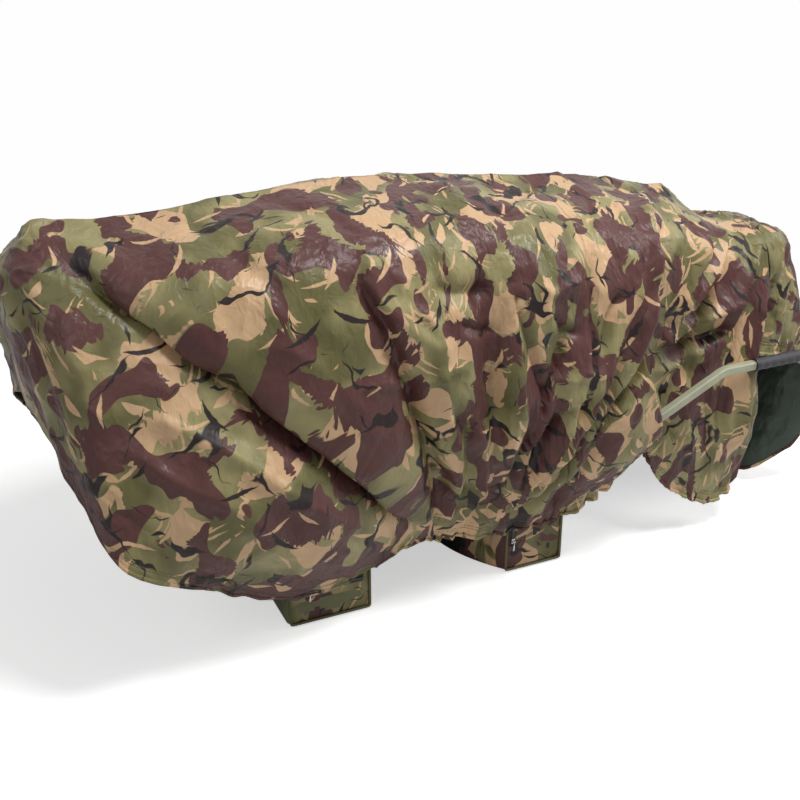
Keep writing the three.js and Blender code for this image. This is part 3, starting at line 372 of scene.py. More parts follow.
def rib(row, far=False):
    """The five points of a rib in metres; the far side is mirrored and its shoulder hangs lower."""
    share = np.reshape(row, (5, 3)) / 100
    points = np.empty((5, 3))
    points[:, 0] = share[:, 0] * RAIL_LENGTH + RIB_START_X
    points[:, 1] = share[:, 1] * HALF_SPACING
    points[:, 2] = np.where(share[:, 2] <= 1, share[:, 2] * AXIS_HEIGHT,
                            AXIS_HEIGHT + (share[:, 2] - 1) * LOAD_HEIGHT)
    if far:
        points[:4, 1] *= -1
        points[3, 2] -= 0.07
    return points


def unit(vectors):
    return vectors / (np.linalg.norm(vectors, axis=1, keepdims=True) + 1e-12)


def spline(points, at):
    """Smooth curve through the points, at the given places counted in points."""
    points = np.concatenate([2 * points[:1] - points[1:2], points, 2 * points[-1:] - points[-2:-1]])
    i = np.minimum(at.astype(int), len(points) - 4)
    f = (at - i).reshape((-1,) + (1,) * (points.ndim - 1))
    a, b, c, d = points[i], points[i + 1], points[i + 2], points[i + 3]
    return 0.5 * (2 * b + (c - a) * f + (2 * a - 5 * b + 4 * c - d) * f ** 2
                  + (3 * b - a - 3 * c + d) * f ** 3)


ROWS = 168
SLIT_ROW = ROWS * 3 // 4


def cloth_places(ribs, columns):
    """Places of the cloth over neighbouring ribs, [column][row], from hem to ridge."""
    ribs = np.array(ribs)
    at = np.concatenate([k + np.arange(count) / count for k, count in enumerate(columns)] + [[len(columns)]])
    lines = spline(ribs, at)
    for column, where in enumerate(at):
        before = ribs[int(where)][4]
        if np.allclose(before, ribs[min(int(np.ceil(where)), len(ribs) - 1)][4]):
            lines[column, 4] = before
    rise = np.linspace(0, 4, ROWS + 1)
    return np.stack([spline(line, rise) for line in lines])


def both_sides(rows):
    return [rib(row) for row in rows][::-1], [rib(row, True) for row in rows]


near_side, far_side = both_sides(side_rib_shares)
cloth = {"front": cloth_places(near_side + [rib(row) for row in front_rib_shares] + far_side,
                               [18] * 6 + [12] * 6 + [8] * 6)}
for part_name, rows in (("middle", middle_rib_shares), ("rear", rear_rib_shares)):
    near_side, far_side = both_sides(rows)
    cloth[part_name + "_near"] = cloth_places(near_side, [20] * (len(rows) - 1))
    cloth[part_name + "_far"] = cloth_places(far_side, [10] * (len(rows) - 1))
cloth["tail"] = cloth_places([rib(row) for row in tail_rib_shares], [13] * 8)

# Above the slit, and above the tail's open edges, the panels are sewn together
for key, column, other, other_column in (
    ("rear_near", -1, "middle_near", 0), ("rear_far", 0, "middle_far", -1),
    ("tail", 0, "rear_far", -1), ("tail", -1, "rear_near", 0),
):
    cloth[key][column, SLIT_ROW:] = cloth[other][other_column, SLIT_ROW:]

# All places of the cover as one set, so that panels bend alike where they are sewn together
sizes = {key: grid.shape[:2] for key, grid in cloth.items()}
listed = np.concatenate([grid.reshape(-1, 3) for grid in cloth.values()])
_, first, shared = np.unique(np.round(listed, 5), axis=0, return_index=True, return_inverse=True)
base = listed[first]
ends = np.cumsum([columns * rows for columns, rows in sizes.values()])
ids = {key: part.reshape(sizes[key]) for key, part in zip(sizes, np.split(shared.reshape(-1), ends))}
corners = np.concatenate([
    np.stack([grid[:-1, :-1], grid[:-1, 1:], grid[1:, 1:], grid[1:, :-1]], -1).reshape(-1, 4)
    for grid in ids.values()])


def cloth_normals(places):
    a, b, c, d = (places[corners[:, k]] for k in range(4))
    face = np.cross(c - a, d - b)
    found = np.zeros_like(places)
    for k in range(4):
        np.add.at(found, corners[:, k], face)
    return unit(found)


base_out = cloth_normals(base)
outward = np.sign(np.mean(base_out[ids["front"][20, 40:80], 1]))
base_out *= -outward

# Folds, in millimetres: the places of the line of each on the cloth, then its half width, its height on the
# line, how sharp it is, the height of a step across it, to the right of a line that runs down, and how far it
# leans over. Those of the near side follow the photograph. The far side has a few long drapes of its own.
near_folds = [
    ([-480, -52, 885, -404, -176, 814, -324, -254, 751, -270, -296, 692, -193, -326, 644, -154, -341, 593,
      -46, -361, 487, 56, -353, 376, 206, -262, 182], 42, -52, 0.7, 24, 33),
    ([-465, -41, 892, -388, -127, 847, -316, -236, 788, -220, -308, 700, -163, -332, 644, -80, -353, 566],
      24, 10, 0.8, 0, 0),
    ([-499, -82, 862, -426, -192, 787, -315, -277, 707, -245, -313, 654, -127, -350, 551], 26, 9, 0.8, 0,
      0),
    ([-316, -236, 788, -267, -285, 728, -188, -326, 652, -149, -341, 601], 20, -14, 0.9, 0, 0),
    ([57, -231, 873, 44, -328, 793, 81, -349, 722, 109, -357, 649, 150, -358, 517, 219, -332, 354, 261,
      -302, 260, 276, -248, 156], 28, -12, 0.7, 12, 6),
    ([44, -331, 786, 87, -346, 739, 150, -354, 676, 219, -357, 609], 20, 10, 0.7, 0, 0),
    ([127, -358, 575, 57, -358, 603, 16, -357, 593], 14, 8, 0.6, 0, 0),
    ([127, -358, 575, 98, -358, 621, 69, -355, 668], 12, -7, 0.6, 0, 0),
    ([127, -358, 575, 180, -357, 601, 240, -357, 609], 14, 8, 0.6, 0, 0),
    ([180, -334, 783, 212, -342, 751, 264, -343, 740, 311, -338, 753], 26, -14, 0.9, 0, 0),
    ([367, -215, 854, 328, -328, 780, 369, -355, 649, 403, -361, 554, 424, -362, 496, 429, -351, 401], 22,
      -10, 0.7, 6, 0),
    ([401, -240, 844, 387, -323, 781, 408, -349, 689, 447, -356, 601], 20, 9, 0.7, 0, 0),
    ([513, -357, 496, 449, -358, 445, 407, -350, 394, 371, -335, 340, 329, -313, 278, 306, -289, 221, 291,
      -253, 163], 26, -14, 0.8, -14, 0),
    ([538, -342, 374, 498, -324, 308, 454, -303, 241, 413, -278, 189, 351, -261, 165], 20, -12, 0.7, -6, 0),
    ([609, -346, 406, 566, -330, 325, 519, -300, 236, 479, -256, 147], 22, -12, 0.7, -6, 0),
    ([655, -80, 832, 556, -264, 806, 525, -321, 747, 526, -346, 644, 527, -354, 536, 517, -355, 453, 523,
      -341, 368, 557, -322, 296], 13, -6, 0.6, 3, 0),
    ([795, -72, 805, 712, -230, 798, 679, -298, 753, 667, -326, 665, 636, -343, 537, 615, -349, 468], 26,
      14, 0.8, -6, 0),
    ([823, -122, 783, 740, -258, 774, 700, -300, 713, 680, -320, 619], 22, -14, 0.8, 0, 0),
    ([884, -140, 740, 848, -222, 729, 827, -248, 685, 812, -257, 632, 756, -262, 549], 24, 14, 0.7, -8, 0),
    ([969, -148, 726, 932, -207, 706, 899, -233, 671, 842, -250, 623, 770, -262, 559], 24, 14, 0.7, -8, 0),
    ([1028, -175, 714, 1016, -213, 680, 975, -236, 629, 953, -245, 593, 948, -255, 491, 953, -261, 415], 26,
      14, 0.7, -6, 0),
    ([730, -262, 530, 783, -257, 524, 862, -250, 548, 912, -249, 567, 965, -245, 585], 20, 14, 0.7, 0, 0),
    ([740, -262, 485, 802, -254, 490, 895, -252, 502, 956, -252, 524], 22, -16, 0.8, 0, 0),
    ([966, -246, 578, 960, -253, 510, 949, -259, 443, 941, -263, 350, 939, -261, 246], 22, -14, 0.7, 6, 0),
    ([1039, -227, 631, 1016, -243, 522, 998, -255, 410, 992, -256, 282, 997, -248, 175], 26, 14, 0.7, 0, 0),
    ([-77, -41, 895, -20, -117, 884, 38, -195, 879, 69, -282, 854], 26, -10, 0.8, 4, 0),
    ([571, -41, 851, 470, -118, 850, 360, -201, 858, 280, -269, 848], 26, -11, 0.8, -4, 0),
    ([320, -54, 879, 297, -150, 871, 297, -237, 858, 288, -300, 827], 22, 10, 0.8, 0, 0),
    ([-224, -41, 884, -197, -120, 867, -171, -216, 848, -133, -273, 822, -81, -314, 776], 28, -9, 0.8, 4,
      0),
    ([-540, -100, 811, -537, -130, 747, -528, -148, 675, -514, -181, 605], 30, -12, 0.9, 0, 0),
    ([-471, -172, 788, -469, -210, 707, -457, -244, 632, -434, -282, 558], 30, 12, 0.9, 0, 0),
    ([-434, -282, 558, -359, -325, 498, -262, -356, 433, -132, -361, 313], 32, 10, 0.8, 0, 0),
    ([-388, -279, 622, -300, -321, 569, -200, -350, 499, -91, -364, 391, 40, -340, 282], 34, 13, 0.8, -4,
      0),
    ([460, -41, 864, 433, -114, 856, 386, -232, 848, 372, -290, 812], 30, -15, 0.8, 4, 0),
    ([394, -41, 873, 347, -173, 863, 326, -275, 840, 315, -324, 789], 20, 10, 0.6, 0, 0),
    ([326, -275, 840, 325, -330, 776, 334, -349, 701, 342, -358, 617, 344, -361, 530, 372, -352, 420], 18,
      11, 0.5, 4, 0),
    ([294, -312, 813, 282, -345, 728, 302, -357, 636, 300, -360, 561, 319, -349, 402], 28, -15, 0.8, 0, 0),
    ([480, -350, 660, 462, -359, 600, 444, -359, 558, 407, -357, 428, 349, -325, 310, 289, -281, 209], 24,
      -14, 0.6, 8, 6),
    ([508, -357, 478, 462, -341, 364, 393, -309, 258, 329, -258, 164], 18, 12, 0.5, 0, 0),
    ([349, -362, 516, 319, -349, 402, 279, -312, 286, 258, -262, 182], 18, 12, 0.5, 0, 0),
    ([131, -356, 650, 154, -357, 509, 187, -341, 382, 249, -292, 235], 26, -11, 0.7, 6, 0),
    ([690, -318, 640, 656, -343, 498, 604, -349, 430, 570, -339, 362, 541, -319, 289], 22, -15, 0.6, 8, 8),
    ([35, -360, 427, 82, -345, 339, 144, -297, 217], 26, 12, 0.6, -4, 0),
    ([900, -245, 640, 862, -250, 560, 845, -254, 470, 850, -258, 380], 26, -13, 0.6, 6, 0),
    ([1080, -180, 640, 1075, -215, 540, 1062, -228, 420, 1055, -225, 300], 26, -13, 0.7, 5, 0),
]
far_folds = [
    ([-440, 100, 860, -340, 270, 700, -200, 350, 520, -20, 340, 340], 50, -26, 1, 0, 0),
    ([-200, 120, 850, -100, 330, 660, 40, 360, 460, 160, 310, 270], 44, -20, 0.9, 8, 0),
    ([200, 200, 800, 220, 340, 620, 240, 350, 440, 250, 290, 240], 36, 16, 0.8, 0, 0),
    ([420, 200, 780, 400, 340, 600, 360, 340, 400, 330, 280, 220], 36, -18, 0.8, 8, 0),
    ([600, 220, 740, 620, 330, 600, 600, 340, 460], 32, 14, 0.8, 0, 0),
    ([800, 200, 680, 840, 250, 500, 900, 260, 300, 920, 250, 160], 32, -14, 0.8, 0, 0),
    ([980, 190, 620, 980, 240, 440, 970, 250, 240], 30, 13, 0.8, 0, 0),
    ([-540, 160, 740, -520, 260, 580, -500, 340, 400], 40, 14, 0.9, 0, 0),
    ([1140, 20, 600, 1180, 30, 440, 1170, 20, 240], 32, -15, 0.8, 0, 0),
    ([1120, -80, 600, 1160, -70, 440, 1160, -60, 260], 28, 12, 0.8, 0, 0),
    ([1110, 120, 580, 1130, 130, 420, 1120, 130, 220], 28, 12, 0.8, 0, 0),
    ([-550, 20, 820, -560, 40, 700, -530, 60, 520], 34, -16, 0.9, 0, 0),
    ([-540, 120, 800, -540, 150, 680, -520, 180, 480], 34, 12, 0.9, 0, 0),
    ([-100, 50, 880, 20, 180, 800, 100, 280, 720], 34, -12, 0.9, 0, 0),
    ([300, 40, 860, 340, 160, 790, 360, 270, 700], 34, 12, 0.9, 0, 0),
]


def in_metres(folds):
    for line, width, height, sharp, step, lean in folds:
        yield np.reshape(line, (-1, 3)) / 1000, width / 1000, height / 1000, sharp, step / 1000, lean / 1000


def fold_height(places, out_of, line, half_width, height, sharp, step=0.0, lean=0.0):
    """How far a fold moves each place; it fades at both ends of its line and may lean over to its left."""
    line = np.array(line)
    lengths = np.linalg.norm(np.diff(line, axis=0), axis=1)
    walked = np.concatenate([[0], np.cumsum(lengths)]) / lengths.sum()
    room = (6 if step else 3) * half_width
    near = np.where(((places > line.min(0) - room) & (places < line.max(0) + room)).all(1))[0]
    result = np.zeros((len(places), 3))
    if not len(near):
        return result
    p, out_near = places[near], out_of[near]
    best, along, side = np.full(len(p), 9.0), np.zeros(len(p)), np.ones(len(p))
    across = np.zeros((len(p), 3))
    for k in range(len(line) - 1):
        leg = line[k + 1] - line[k]
        t = np.clip(((p - line[k]) @ leg) / (leg @ leg), 0, 1)
        away = p - line[k] - t[:, None] * leg
        gap = np.linalg.norm(away, axis=1)
        closer = gap < best
        best[closer] = gap[closer]
        along[closer] = (walked[k] + t * (walked[k + 1] - walked[k]))[closer]
        right = np.cross(out_near, leg / lengths[k])
        side[closer] = np.sign(np.einsum("ij,ij->i", away, right))[closer]
        across[closer] = right[closer]
    fade = np.clip(np.minimum(along, 1 - along) * 5, 0, 1)
    fade = fade * fade * (3 - 2 * fade)
    x = best / half_width
    raised = height * np.exp(-np.abs(x) ** (0.65 + sharp) * 1.6)
    if step:
        raised += step * side * np.tanh(x * 5) * np.exp(-np.maximum(x - 0.3, 0) / 1.3)
    result[near] = (fade * raised)[:, None] * out_near
    if lean:
        tipped = lean * fade * np.where(side > 0, np.exp(-((x - 0.45) / 0.5) ** 2),
                                        np.exp(-((x + 0.3) / 0.35) ** 2))
        result[near] -= tipped[:, None] * across
    return result


def billows(places):
    """Wide shallow swelling and crumpling, the same each time."""
    result = np.zeros(len(places))
    for scale, amount, creased, shift in ((4.0, 0.010, 0, 1.0), (8.5, 0.011, 1, 4.0), (17.0, 0.0065, 1, 8.0)):
        value = np.array([noise.noise(Vector((p[0] * scale + shift, p[1] * scale, p[2] * scale * 0.8)))
                          for p in places])
        result += amount * ((0.25 - np.abs(value)) if creased else value)
    return result


chance = np.random.default_rng(7)


def crumples(places, out_of, count, spread, reach, width, height):
    """Small creases at random places of the cloth, most of them running the way the folds run there."""
    raised = np.zeros((len(places), 3))
    for pick in chance.integers(0, len(places), count):
        middle, outwards = places[pick], out_of[pick]
        sideways = np.interp(middle[0], (-0.5, -0.1, 0.15, 0.4, 0.7, 1.0), (0.9, 0.8, 0.35, -0.1, -0.6, -0.3))
        down = np.array([sideways, 0.0, -0.9]) + chance.normal(0, spread, 3)
        run = down - outwards * (down @ outwards)
        length = np.linalg.norm(run)
        half = chance.uniform(0.4, 1.0) * reach
        bend = chance.normal(0, 0.15)
        amount = chance.uniform(0.3, 1.0) * height * chance.choice([-1, 1])
        wide = chance.uniform(0.6, 1.4) * width
        if length > 0.2:
            run /= length
            side = np.cross(outwards, run)
            line = [middle - run * half, middle + side * bend * half, middle + run * half]
            raised += fold_height(places, out_of, line, wide, amount, 0.2)
    return raised


pleating = np.random.default_rng(11)
pleats = np.cumsum(pleating.uniform(0.008, 0.030, 200)) - 1.3
pleat_heights = pleating.uniform(0.25, 1.15, 200) * np.where(np.arange(200) % 2, 1, -1)


def climbed_from_hem(spots):
    """Length of cloth from the hem up to each place of a grid."""
    steps = np.linalg.norm(np.diff(spots, axis=1), axis=2)
    return np.concatenate([np.zeros((len(spots), 1)), np.cumsum(steps, axis=1)], 1)


def gathers(places):
    """Ruffles of the elastic hems: how far each place stands out, and how strongly its hem is gathered."""
    elastic_start, elastic_run, ruffle_height = 0.12, 0.10, 0.0085
    raised, strength = np.zeros(len(places)), np.zeros(len(places))
    for key, grid in ids.items():
        spots = places[grid]
        climbed = climbed_from_hem(spots)
        hem = spots[:, 0]
        if key == "front":
            drawn = np.clip((hem[:, 0] - elastic_start) / elastic_run, 0, 1) * np.where(hem[:, 1] < 0, 1.0, 0.8)
        else:
            drawn = np.ones(len(hem))
        walk = (hem[:, 0] + hem[:, 1])[:, None] + 0.010 * np.sin(climbed * 40.0 + hem[:, :1] * 50.0)
        wave = np.interp(walk, pleats, pleat_heights)
        reach = 0.045 + 0.035 * np.abs(np.interp(walk, pleats[::3], pleat_heights[::3]))
        amount = drawn[:, None] * np.exp(-(climbed / reach) ** 1.2)
        raised[grid] = amount * wave * ruffle_height
        strength[grid] = amount
    return raised, strength


def on_cloth(line):
    """A smooth line over the cloth through the nearest places to the given ones."""
    line, pieces = np.array(line, float), 6
    spread_out = spline(line, np.linspace(0, len(line) - 1, pieces + 1))
    return [tuple(base[np.argmin(((base - spot) ** 2).sum(1))]) for spot in spread_out]


# Long drapes that run down to where the elastic draws the hem in, on both sides
drapes = []
for k in range(13):
    top_x = 0.10 + 0.045 * k + 0.012 * math.sin(k * 2.3)
    foot_x = 0.235 + 0.31 * (top_x - 0.10) + 0.01 * math.sin(k * 4.1)
    top_z = 0.60 + 0.10 * math.sin(k * 1.7)
    for side, shift in ((-1, 0.0), (1, 0.02)):
        height = (0.014 if k % 2 else -0.024) * (1 + 0.25 * math.sin(k * 3.3 + side))
        line = on_cloth([(top_x + shift, side * 0.350, top_z),
                         ((top_x + foot_x) / 2 + 0.03, side * 0.345, 0.40),
                         (foot_x + shift, side * 0.250, 0.150)])
        drapes.append((line, 0.019, height, 0.5, 0.004 * (-1) ** (k // 2)))

# Short sharp creases of the near side where the cloth bunches over the handle and in the hanging flap
near_creases = [
    [742, -262, 470, 800, -255, 520, 870, -249, 590, 930, -236, 650],
    [738, -262, 445, 830, -256, 462, 930, -252, 500],
    [752, -262, 545, 790, -256, 620, 835, -240, 690],
    [748, -262, 515, 815, -254, 585, 890, -236, 670],
    [765, -262, 420, 785, -262, 340, 830, -262, 250],
    [805, -262, 410, 835, -263, 310, 870, -262, 200],
    [885, -262, 420, 895, -264, 320, 905, -262, 210],
    [930, -260, 440, 950, -262, 330, 955, -260, 230],
    [690, -318, 700, 668, -336, 590, 640, -346, 500],
    [640, -325, 720, 620, -348, 600, 590, -352, 500],
    [600, -340, 700, 560, -350, 640, 545, -353, 560],
    [560, -352, 520, 500, -356, 540, 440, -359, 520],
    [420, -355, 690, 450, -356, 640, 500, -355, 620],
    [380, -345, 730, 440, -345, 720, 500, -335, 730],
    [220, -350, 700, 260, -352, 670, 320, -355, 660],
    [120, -345, 740, 170, -350, 700, 200, -356, 640],
]
crease_width, ridge, groove_depth = 0.013, 0.0135, -0.0175
moved = np.zeros((len(base), 3))
for k, line in enumerate(near_creases):
    line = on_cloth(np.reshape(line, (-1, 3)) / 1000)
    moved += fold_height(base, base_out, line, crease_width, ridge if k % 2 else groove_depth, 0.5)
for line, half_width, height, sharp, step, lean in in_metres(near_folds):
    more = np.interp(line[0][0], (0.10, 0.14, 0.60, 0.72), (1.15, 1.6, 1.6, 1.8))
    moved += fold_height(base, base_out, line, half_width, height * more, sharp, step * more, lean)
for fold in list(in_metres(far_folds)) + drapes:
    moved += fold_height(base, base_out, *fold)
moved += billows(base)[:, None] * base_out

# Folds lie flatter where the cloth faces up, and the small crumples are calmer where a hem is gathered
flattened, calmed = 0.45, 0.7
facing_up = np.clip((base_out[:, 2] - 0.35) / 0.4, 0, 1)
moved *= (1 - flattened * facing_up)[:, None]
skin = base + moved
skin_out = cloth_normals(skin) * -outward
ruffles, drawn_in = gathers(base)
moved = np.zeros((len(base), 3))
for how_many, spread, reach, width, height in (
    (300, 0.35, 0.13, 0.013, 0.0070), (900, 0.5, 0.055, 0.010, 0.0038), (1300, 0.8, 0.028, 0.0085, 0.0016),
):
    moved += crumples(skin, skin_out, how_many, spread, reach, width, height)
skin += moved * (1 - calmed * drawn_in)[:, None] + ruffles[:, None] * skin_out

# No fold reaches into the load, the frame or a handle: each place keeps clear of what lies under or over it
clearance, farthest = 0.004, 0.10
hard_places, hard_faces = [], []
for node_name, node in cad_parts.items():
    if not node_name.startswith(("cover_", "hem_")):
        hard_faces += [[len(hard_places) + k for k in face.vertices] for face in node.data.polygons]
        hard_places += [node.matrix_world @ vert.co for vert in node.data.vertices]
hard = BVHTree.FromPolygons(hard_places, hard_faces)
for k in range(len(base)):
    raised = (skin[k] - base[k]) @ base_out[k]
    for way in (-1, 1):
        hit = hard.ray_cast(Vector(base[k]), way * Vector(base_out[k]), farthest)
        if hit[0] is not None:
            skin[k] -= way * max(way * raised - max(hit[3] - clearance, 0.0), 0.0) * base_out[k]
skin_out = cloth_normals(skin) * -outward

# Behind the front load the cloth is bunched, so the print on it looks narrower there
bunched_from, bunching = 0.10, 0.45
print_place = base + np.outer(np.maximum(base[:, 0] - bunched_from, 0.0) * bunching, (1.0, 0.0, 0.0))
cover_print = cloth_material("cover_print", stitched=True)
cover_coating = cloth_material("cover_coating", tint=(0.040, 0.054, 0.041))
weld_distance = 0.00005
CLOTH_LAYERS = "cloth_place", "cloth_out", "hem_place"


def new_layers(shell, count=2):
    """Layers for each point's place in the print, the way out of the cloth and its place by the hem."""
    return [shell.verts.layers.float_vector.new(layer) for layer in CLOTH_LAYERS[:count]]


def new_piece(name, shell, materials, body, replaced, slot):
    """Puts a finished bmesh into the scene as a piece that stands for CAD nodes and rides on a body."""
    for face in shell.faces:
        face.smooth = True
    data = bpy.data.meshes.new(name)
    shell.to_mesh(data)
    shell.free()
    for material in materials:
        data.materials.append(material)
    piece = bpy.data.objects.new(name, data)
    scene.collection.objects.link(piece)
    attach(piece, body)
    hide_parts(*replaced)
    return piece


for piece_name, keys in (("cover_front", ["front"]), ("cover_middle", ["middle_near", "middle_far"]),
                         ("cover_rear", ["rear_near", "rear_far"]), ("cover_tail", ["tail"])):
    sheet = bmesh.new()
    place_layer, out_layer, hem_layer = new_layers(sheet, 3)
    for key in keys:
        columns, rows = sizes[key]
        spots = base[ids[key]]
        along = np.concatenate([[0], np.cumsum(np.linalg.norm(np.diff(spots[:, 0], axis=0), axis=1))])
        climbed = climbed_from_hem(spots)
        patch = bmesh.ops.create_grid(sheet, x_segments=columns - 1, y_segments=rows - 1, size=1.0)["verts"]
        faces = {face for vert in patch for face in vert.link_faces}
        for vert in patch:
            column = round((vert.co.x + 1) / 2 * (columns - 1))
            row = round((vert.co.y + 1) / 2 * (rows - 1))
            at = ids[key][column, row]
            vert.co = Vector(skin[at])
            vert[place_layer] = Vector(print_place[at])
            vert[out_layer] = Vector(base_out[at])
            vert[hem_layer] = Vector((along[column], climbed[column, row], 0))
        for face in faces:
            face.normal_update()
        probe = next(face for face in faces if face.calc_area() > 1e-6)
        if probe.normal.dot(probe.verts[0][out_layer]) < 0:
            bmesh.ops.reverse_faces(sheet, faces=list(faces))
    bmesh.ops.remove_doubles(sheet, verts=sheet.verts, dist=weld_distance)
    piece = new_piece(piece_name, sheet, [cover_print, cover_coating], "frame", [piece_name + "_panel"],
                      "cover_cloth")
    wall = piece.modifiers.new("nylon_wall", "SOLIDIFY")
    wall.thickness = 0.0012
    wall.offset = -1
    wall.use_rim = True
    wall.material_offset = 1

# ---------------------------------------------------------------- hems
# The hem of each panel is folded over an elastic cord. It follows the edge of
# the cloth with its ruffles, and where the elastic draws it in it is thicker.
hem_print = cloth_material("hem_print", crumple=0.004)


def tube_faces(shell, rings):
    """Joins rings of vertices into a tube and closes its ends."""
    count = len(rings[0])
    for ring, following in zip(rings, rings[1:]):
        for k in range(count):
            shell.faces.new((ring[k], ring[k - 1], following[k - 1], following[k]))
    shell.faces.new(rings[0])
    shell.faces.new(rings[-1][::-1])


def hem_piece(name, node_name, *keys):
    """A hem along the lowest row of the cloth's grids."""
    shell = bmesh.new()
    place_layer, out_layer = new_layers(shell)
    steps = 12
    for grid in (ids[key] for key in keys):
        edge, inner, away = skin[grid[:, 0]], skin[grid[:, 2]], skin_out[grid[:, 0]]
        down = unit(edge - inner)
        across = unit(away - np.einsum("ij,ij->i", away, down)[:, None] * down)
        plump = np.clip(drawn_in[grid[:, 0]], 0, 1)
        rings = []
        for k in range(len(edge)):
            ripple = 0.0008 * math.sin(k * 1.9) * plump[k]
            tall, thick = 0.0062 + ripple - 0.0012 * plump[k], 0.0021 + 0.0020 * plump[k] + ripple
            middle = edge[k] + down[k] * 0.0035
            ring = []
            for step in range(steps):
                turn = 2 * math.pi * step / steps
                offset = down[k] * math.cos(turn) * tall + across[k] * math.sin(turn) * thick
                vert = shell.verts.new(Vector(middle + offset))
                vert[place_layer] = Vector(print_place[grid[k, 0]] + offset)
                vert[out_layer] = Vector(base_out[grid[k, 0]])
                ring.append(vert)
            rings.append(ring)
        tube_faces(shell, rings)
    bmesh.ops.recalc_face_normals(shell, faces=shell.faces)
    return new_piece(name, shell, [hem_print], "frame", [node_name], "cover_hem")


hems = {
    "front": [hem_piece("hem_front", "hem_casing_front", "middle_near", "front", "middle_far")],
    "middle": [],
    "rear": [hem_piece("hem_rear_left", "hem_casing_rear_left", "rear_near"),
             hem_piece("hem_rear_right", "hem_casing_rear_right", "rear_far")],
    "tail": [hem_piece("hem_tail", "hem_casing_tail", "tail")],
}

# ---------------------------------------------------------------- handles
# Two bent square tubes slide out of the rails. Each carries a ribbed rubber
# grip with a collar before it. The tubes are painted in the colour of the frame.


def painted_metal(name, colour, worn):
    """Satin paint with fine dust, faint scratches and wear."""
    material, nodes = new_material(name)
    place = nodes.add("TexCoord").outputs["Object"]
    patch = nodes.noise(place, 18.0, 4.0)
    stretched = nodes.add("Mapping", {"Vector": place, "Scale": (9.0, 160.0, 160.0)}).outputs[0]
    scratch = nodes.ramp(nodes.noise(stretched, 6.0, 3.0), 0.66, 0.70)
    paint = nodes.mottled(nodes.ramp(patch, 0.3, 0.7), colour, 0.86, 1.1)
    nodes.surface({"Base Color": nodes.over(scratch, paint, worn + (1,)),
                   "Roughness": nodes.ramp(patch, to_low=0.34, to_high=0.52),
                   "Normal": nodes.bump(nodes.noise(place, 700.0, 2.0), 0.25, 0.0004)})
    return material


def plain_surface(name, colour, rough, grain_scale, grain_depth, metallic=0.0):
    """Rubber, plastic or bare metal with a fine grain and slightly uneven shine."""
    material, nodes = new_material(name)
    place = nodes.add("TexCoord").outputs["Object"]
    patch = nodes.noise(place, 30.0, 3.0)
    nodes.surface({"Base Color": nodes.mottled(patch, colour, 0.8, 1.25), "Metallic": metallic,
                   "Roughness": nodes.ramp(patch, to_low=rough - 0.08, to_high=rough + 0.08),
                   "Normal": nodes.bump(nodes.noise(place, grain_scale, 3.0), 0.5, grain_depth)})
    return material


tube_width, tube_corner, grip_height = 0.019, 0.0038, 0.437

frame_paint = painted_metal("frame_paint", (0.235, 0.240, 0.150), (0.40, 0.40, 0.34))
handle_paint = painted_metal("handle_paint", (0.330, 0.335, 0.235), (0.46, 0.46, 0.40))
grip_rubber = plain_surface("grip_rubber", (0.030, 0.030, 0.034), 0.62, 900.0, 0.0006)
black_plastic = plain_surface("black_plastic", (0.016, 0.016, 0.017), 0.42, 600.0, 0.0003)


def swept_square(shell, path, width, corner):
    """A tube of rounded square section along a bent path that stays in one upright plane."""
    section = []
    for quarter, (x, y) in enumerate(((1, 1), (-1, 1), (-1, -1), (1, -1))):
        for step in range(6):
            turn = math.pi / 2 * (quarter + step / 5)
            section.append((x * (width / 2 - corner) + corner * math.cos(turn),
                            y * (width / 2 - corner) + corner * math.sin(turn)))
    rings = []
    side = Vector((0, 1, 0))
    for k, point in enumerate(path):
        before, after = path[max(k - 1, 0)], path[min(k + 1, len(path) - 1)]
        up = (after - before).normalized().cross(side).normalized()
        rings.append([shell.verts.new(point + side * a + up * b) for a, b in section])
    tube_faces(shell, rings)


def handle_path(y):
    """The bent line of a handle's tube, in x and z of its four corners."""
    points = [Vector((x, y, z)) for x, z in ((0.5576, 0.355), (0.7376, 0.355),
                                             (0.9013, grip_height), (1.1233, grip_height))]
    bend_radius, bend_steps = 0.045, 16
    path = [points[0]]
    for before, corner, after in zip(points, points[1:], points[2:]):
        back, forth = (before - corner).normalized(), (after - corner).normalized()
        reach = bend_radius * math.tan((math.pi - back.angle(forth)) / 2)
        start, end = corner + back * reach, corner + forth * reach
        for step in range(bend_steps + 1):
            t = step / bend_steps
            path.append(start * (1 - t) ** 2 + corner * 2 * t * (1 - t) + end * t ** 2)
    return path + [points[-1]]


def turned(shell, profile, y, z):
    """A turned body about a line along X, from (x, radius) pairs."""
    verts = [shell.verts.new((x, y, z + radius)) for x, radius in profile]
    edges = [shell.edges.new(pair) for pair in zip(verts, verts[1:])]
    bmesh.ops.spin(shell, geom=verts + edges, cent=(0, y, z), axis=(1, 0, 0), angle=2 * math.pi, steps=56,
                   use_merge=True)
    bmesh.ops.remove_doubles(shell, verts=shell.verts, dist=0.00002)


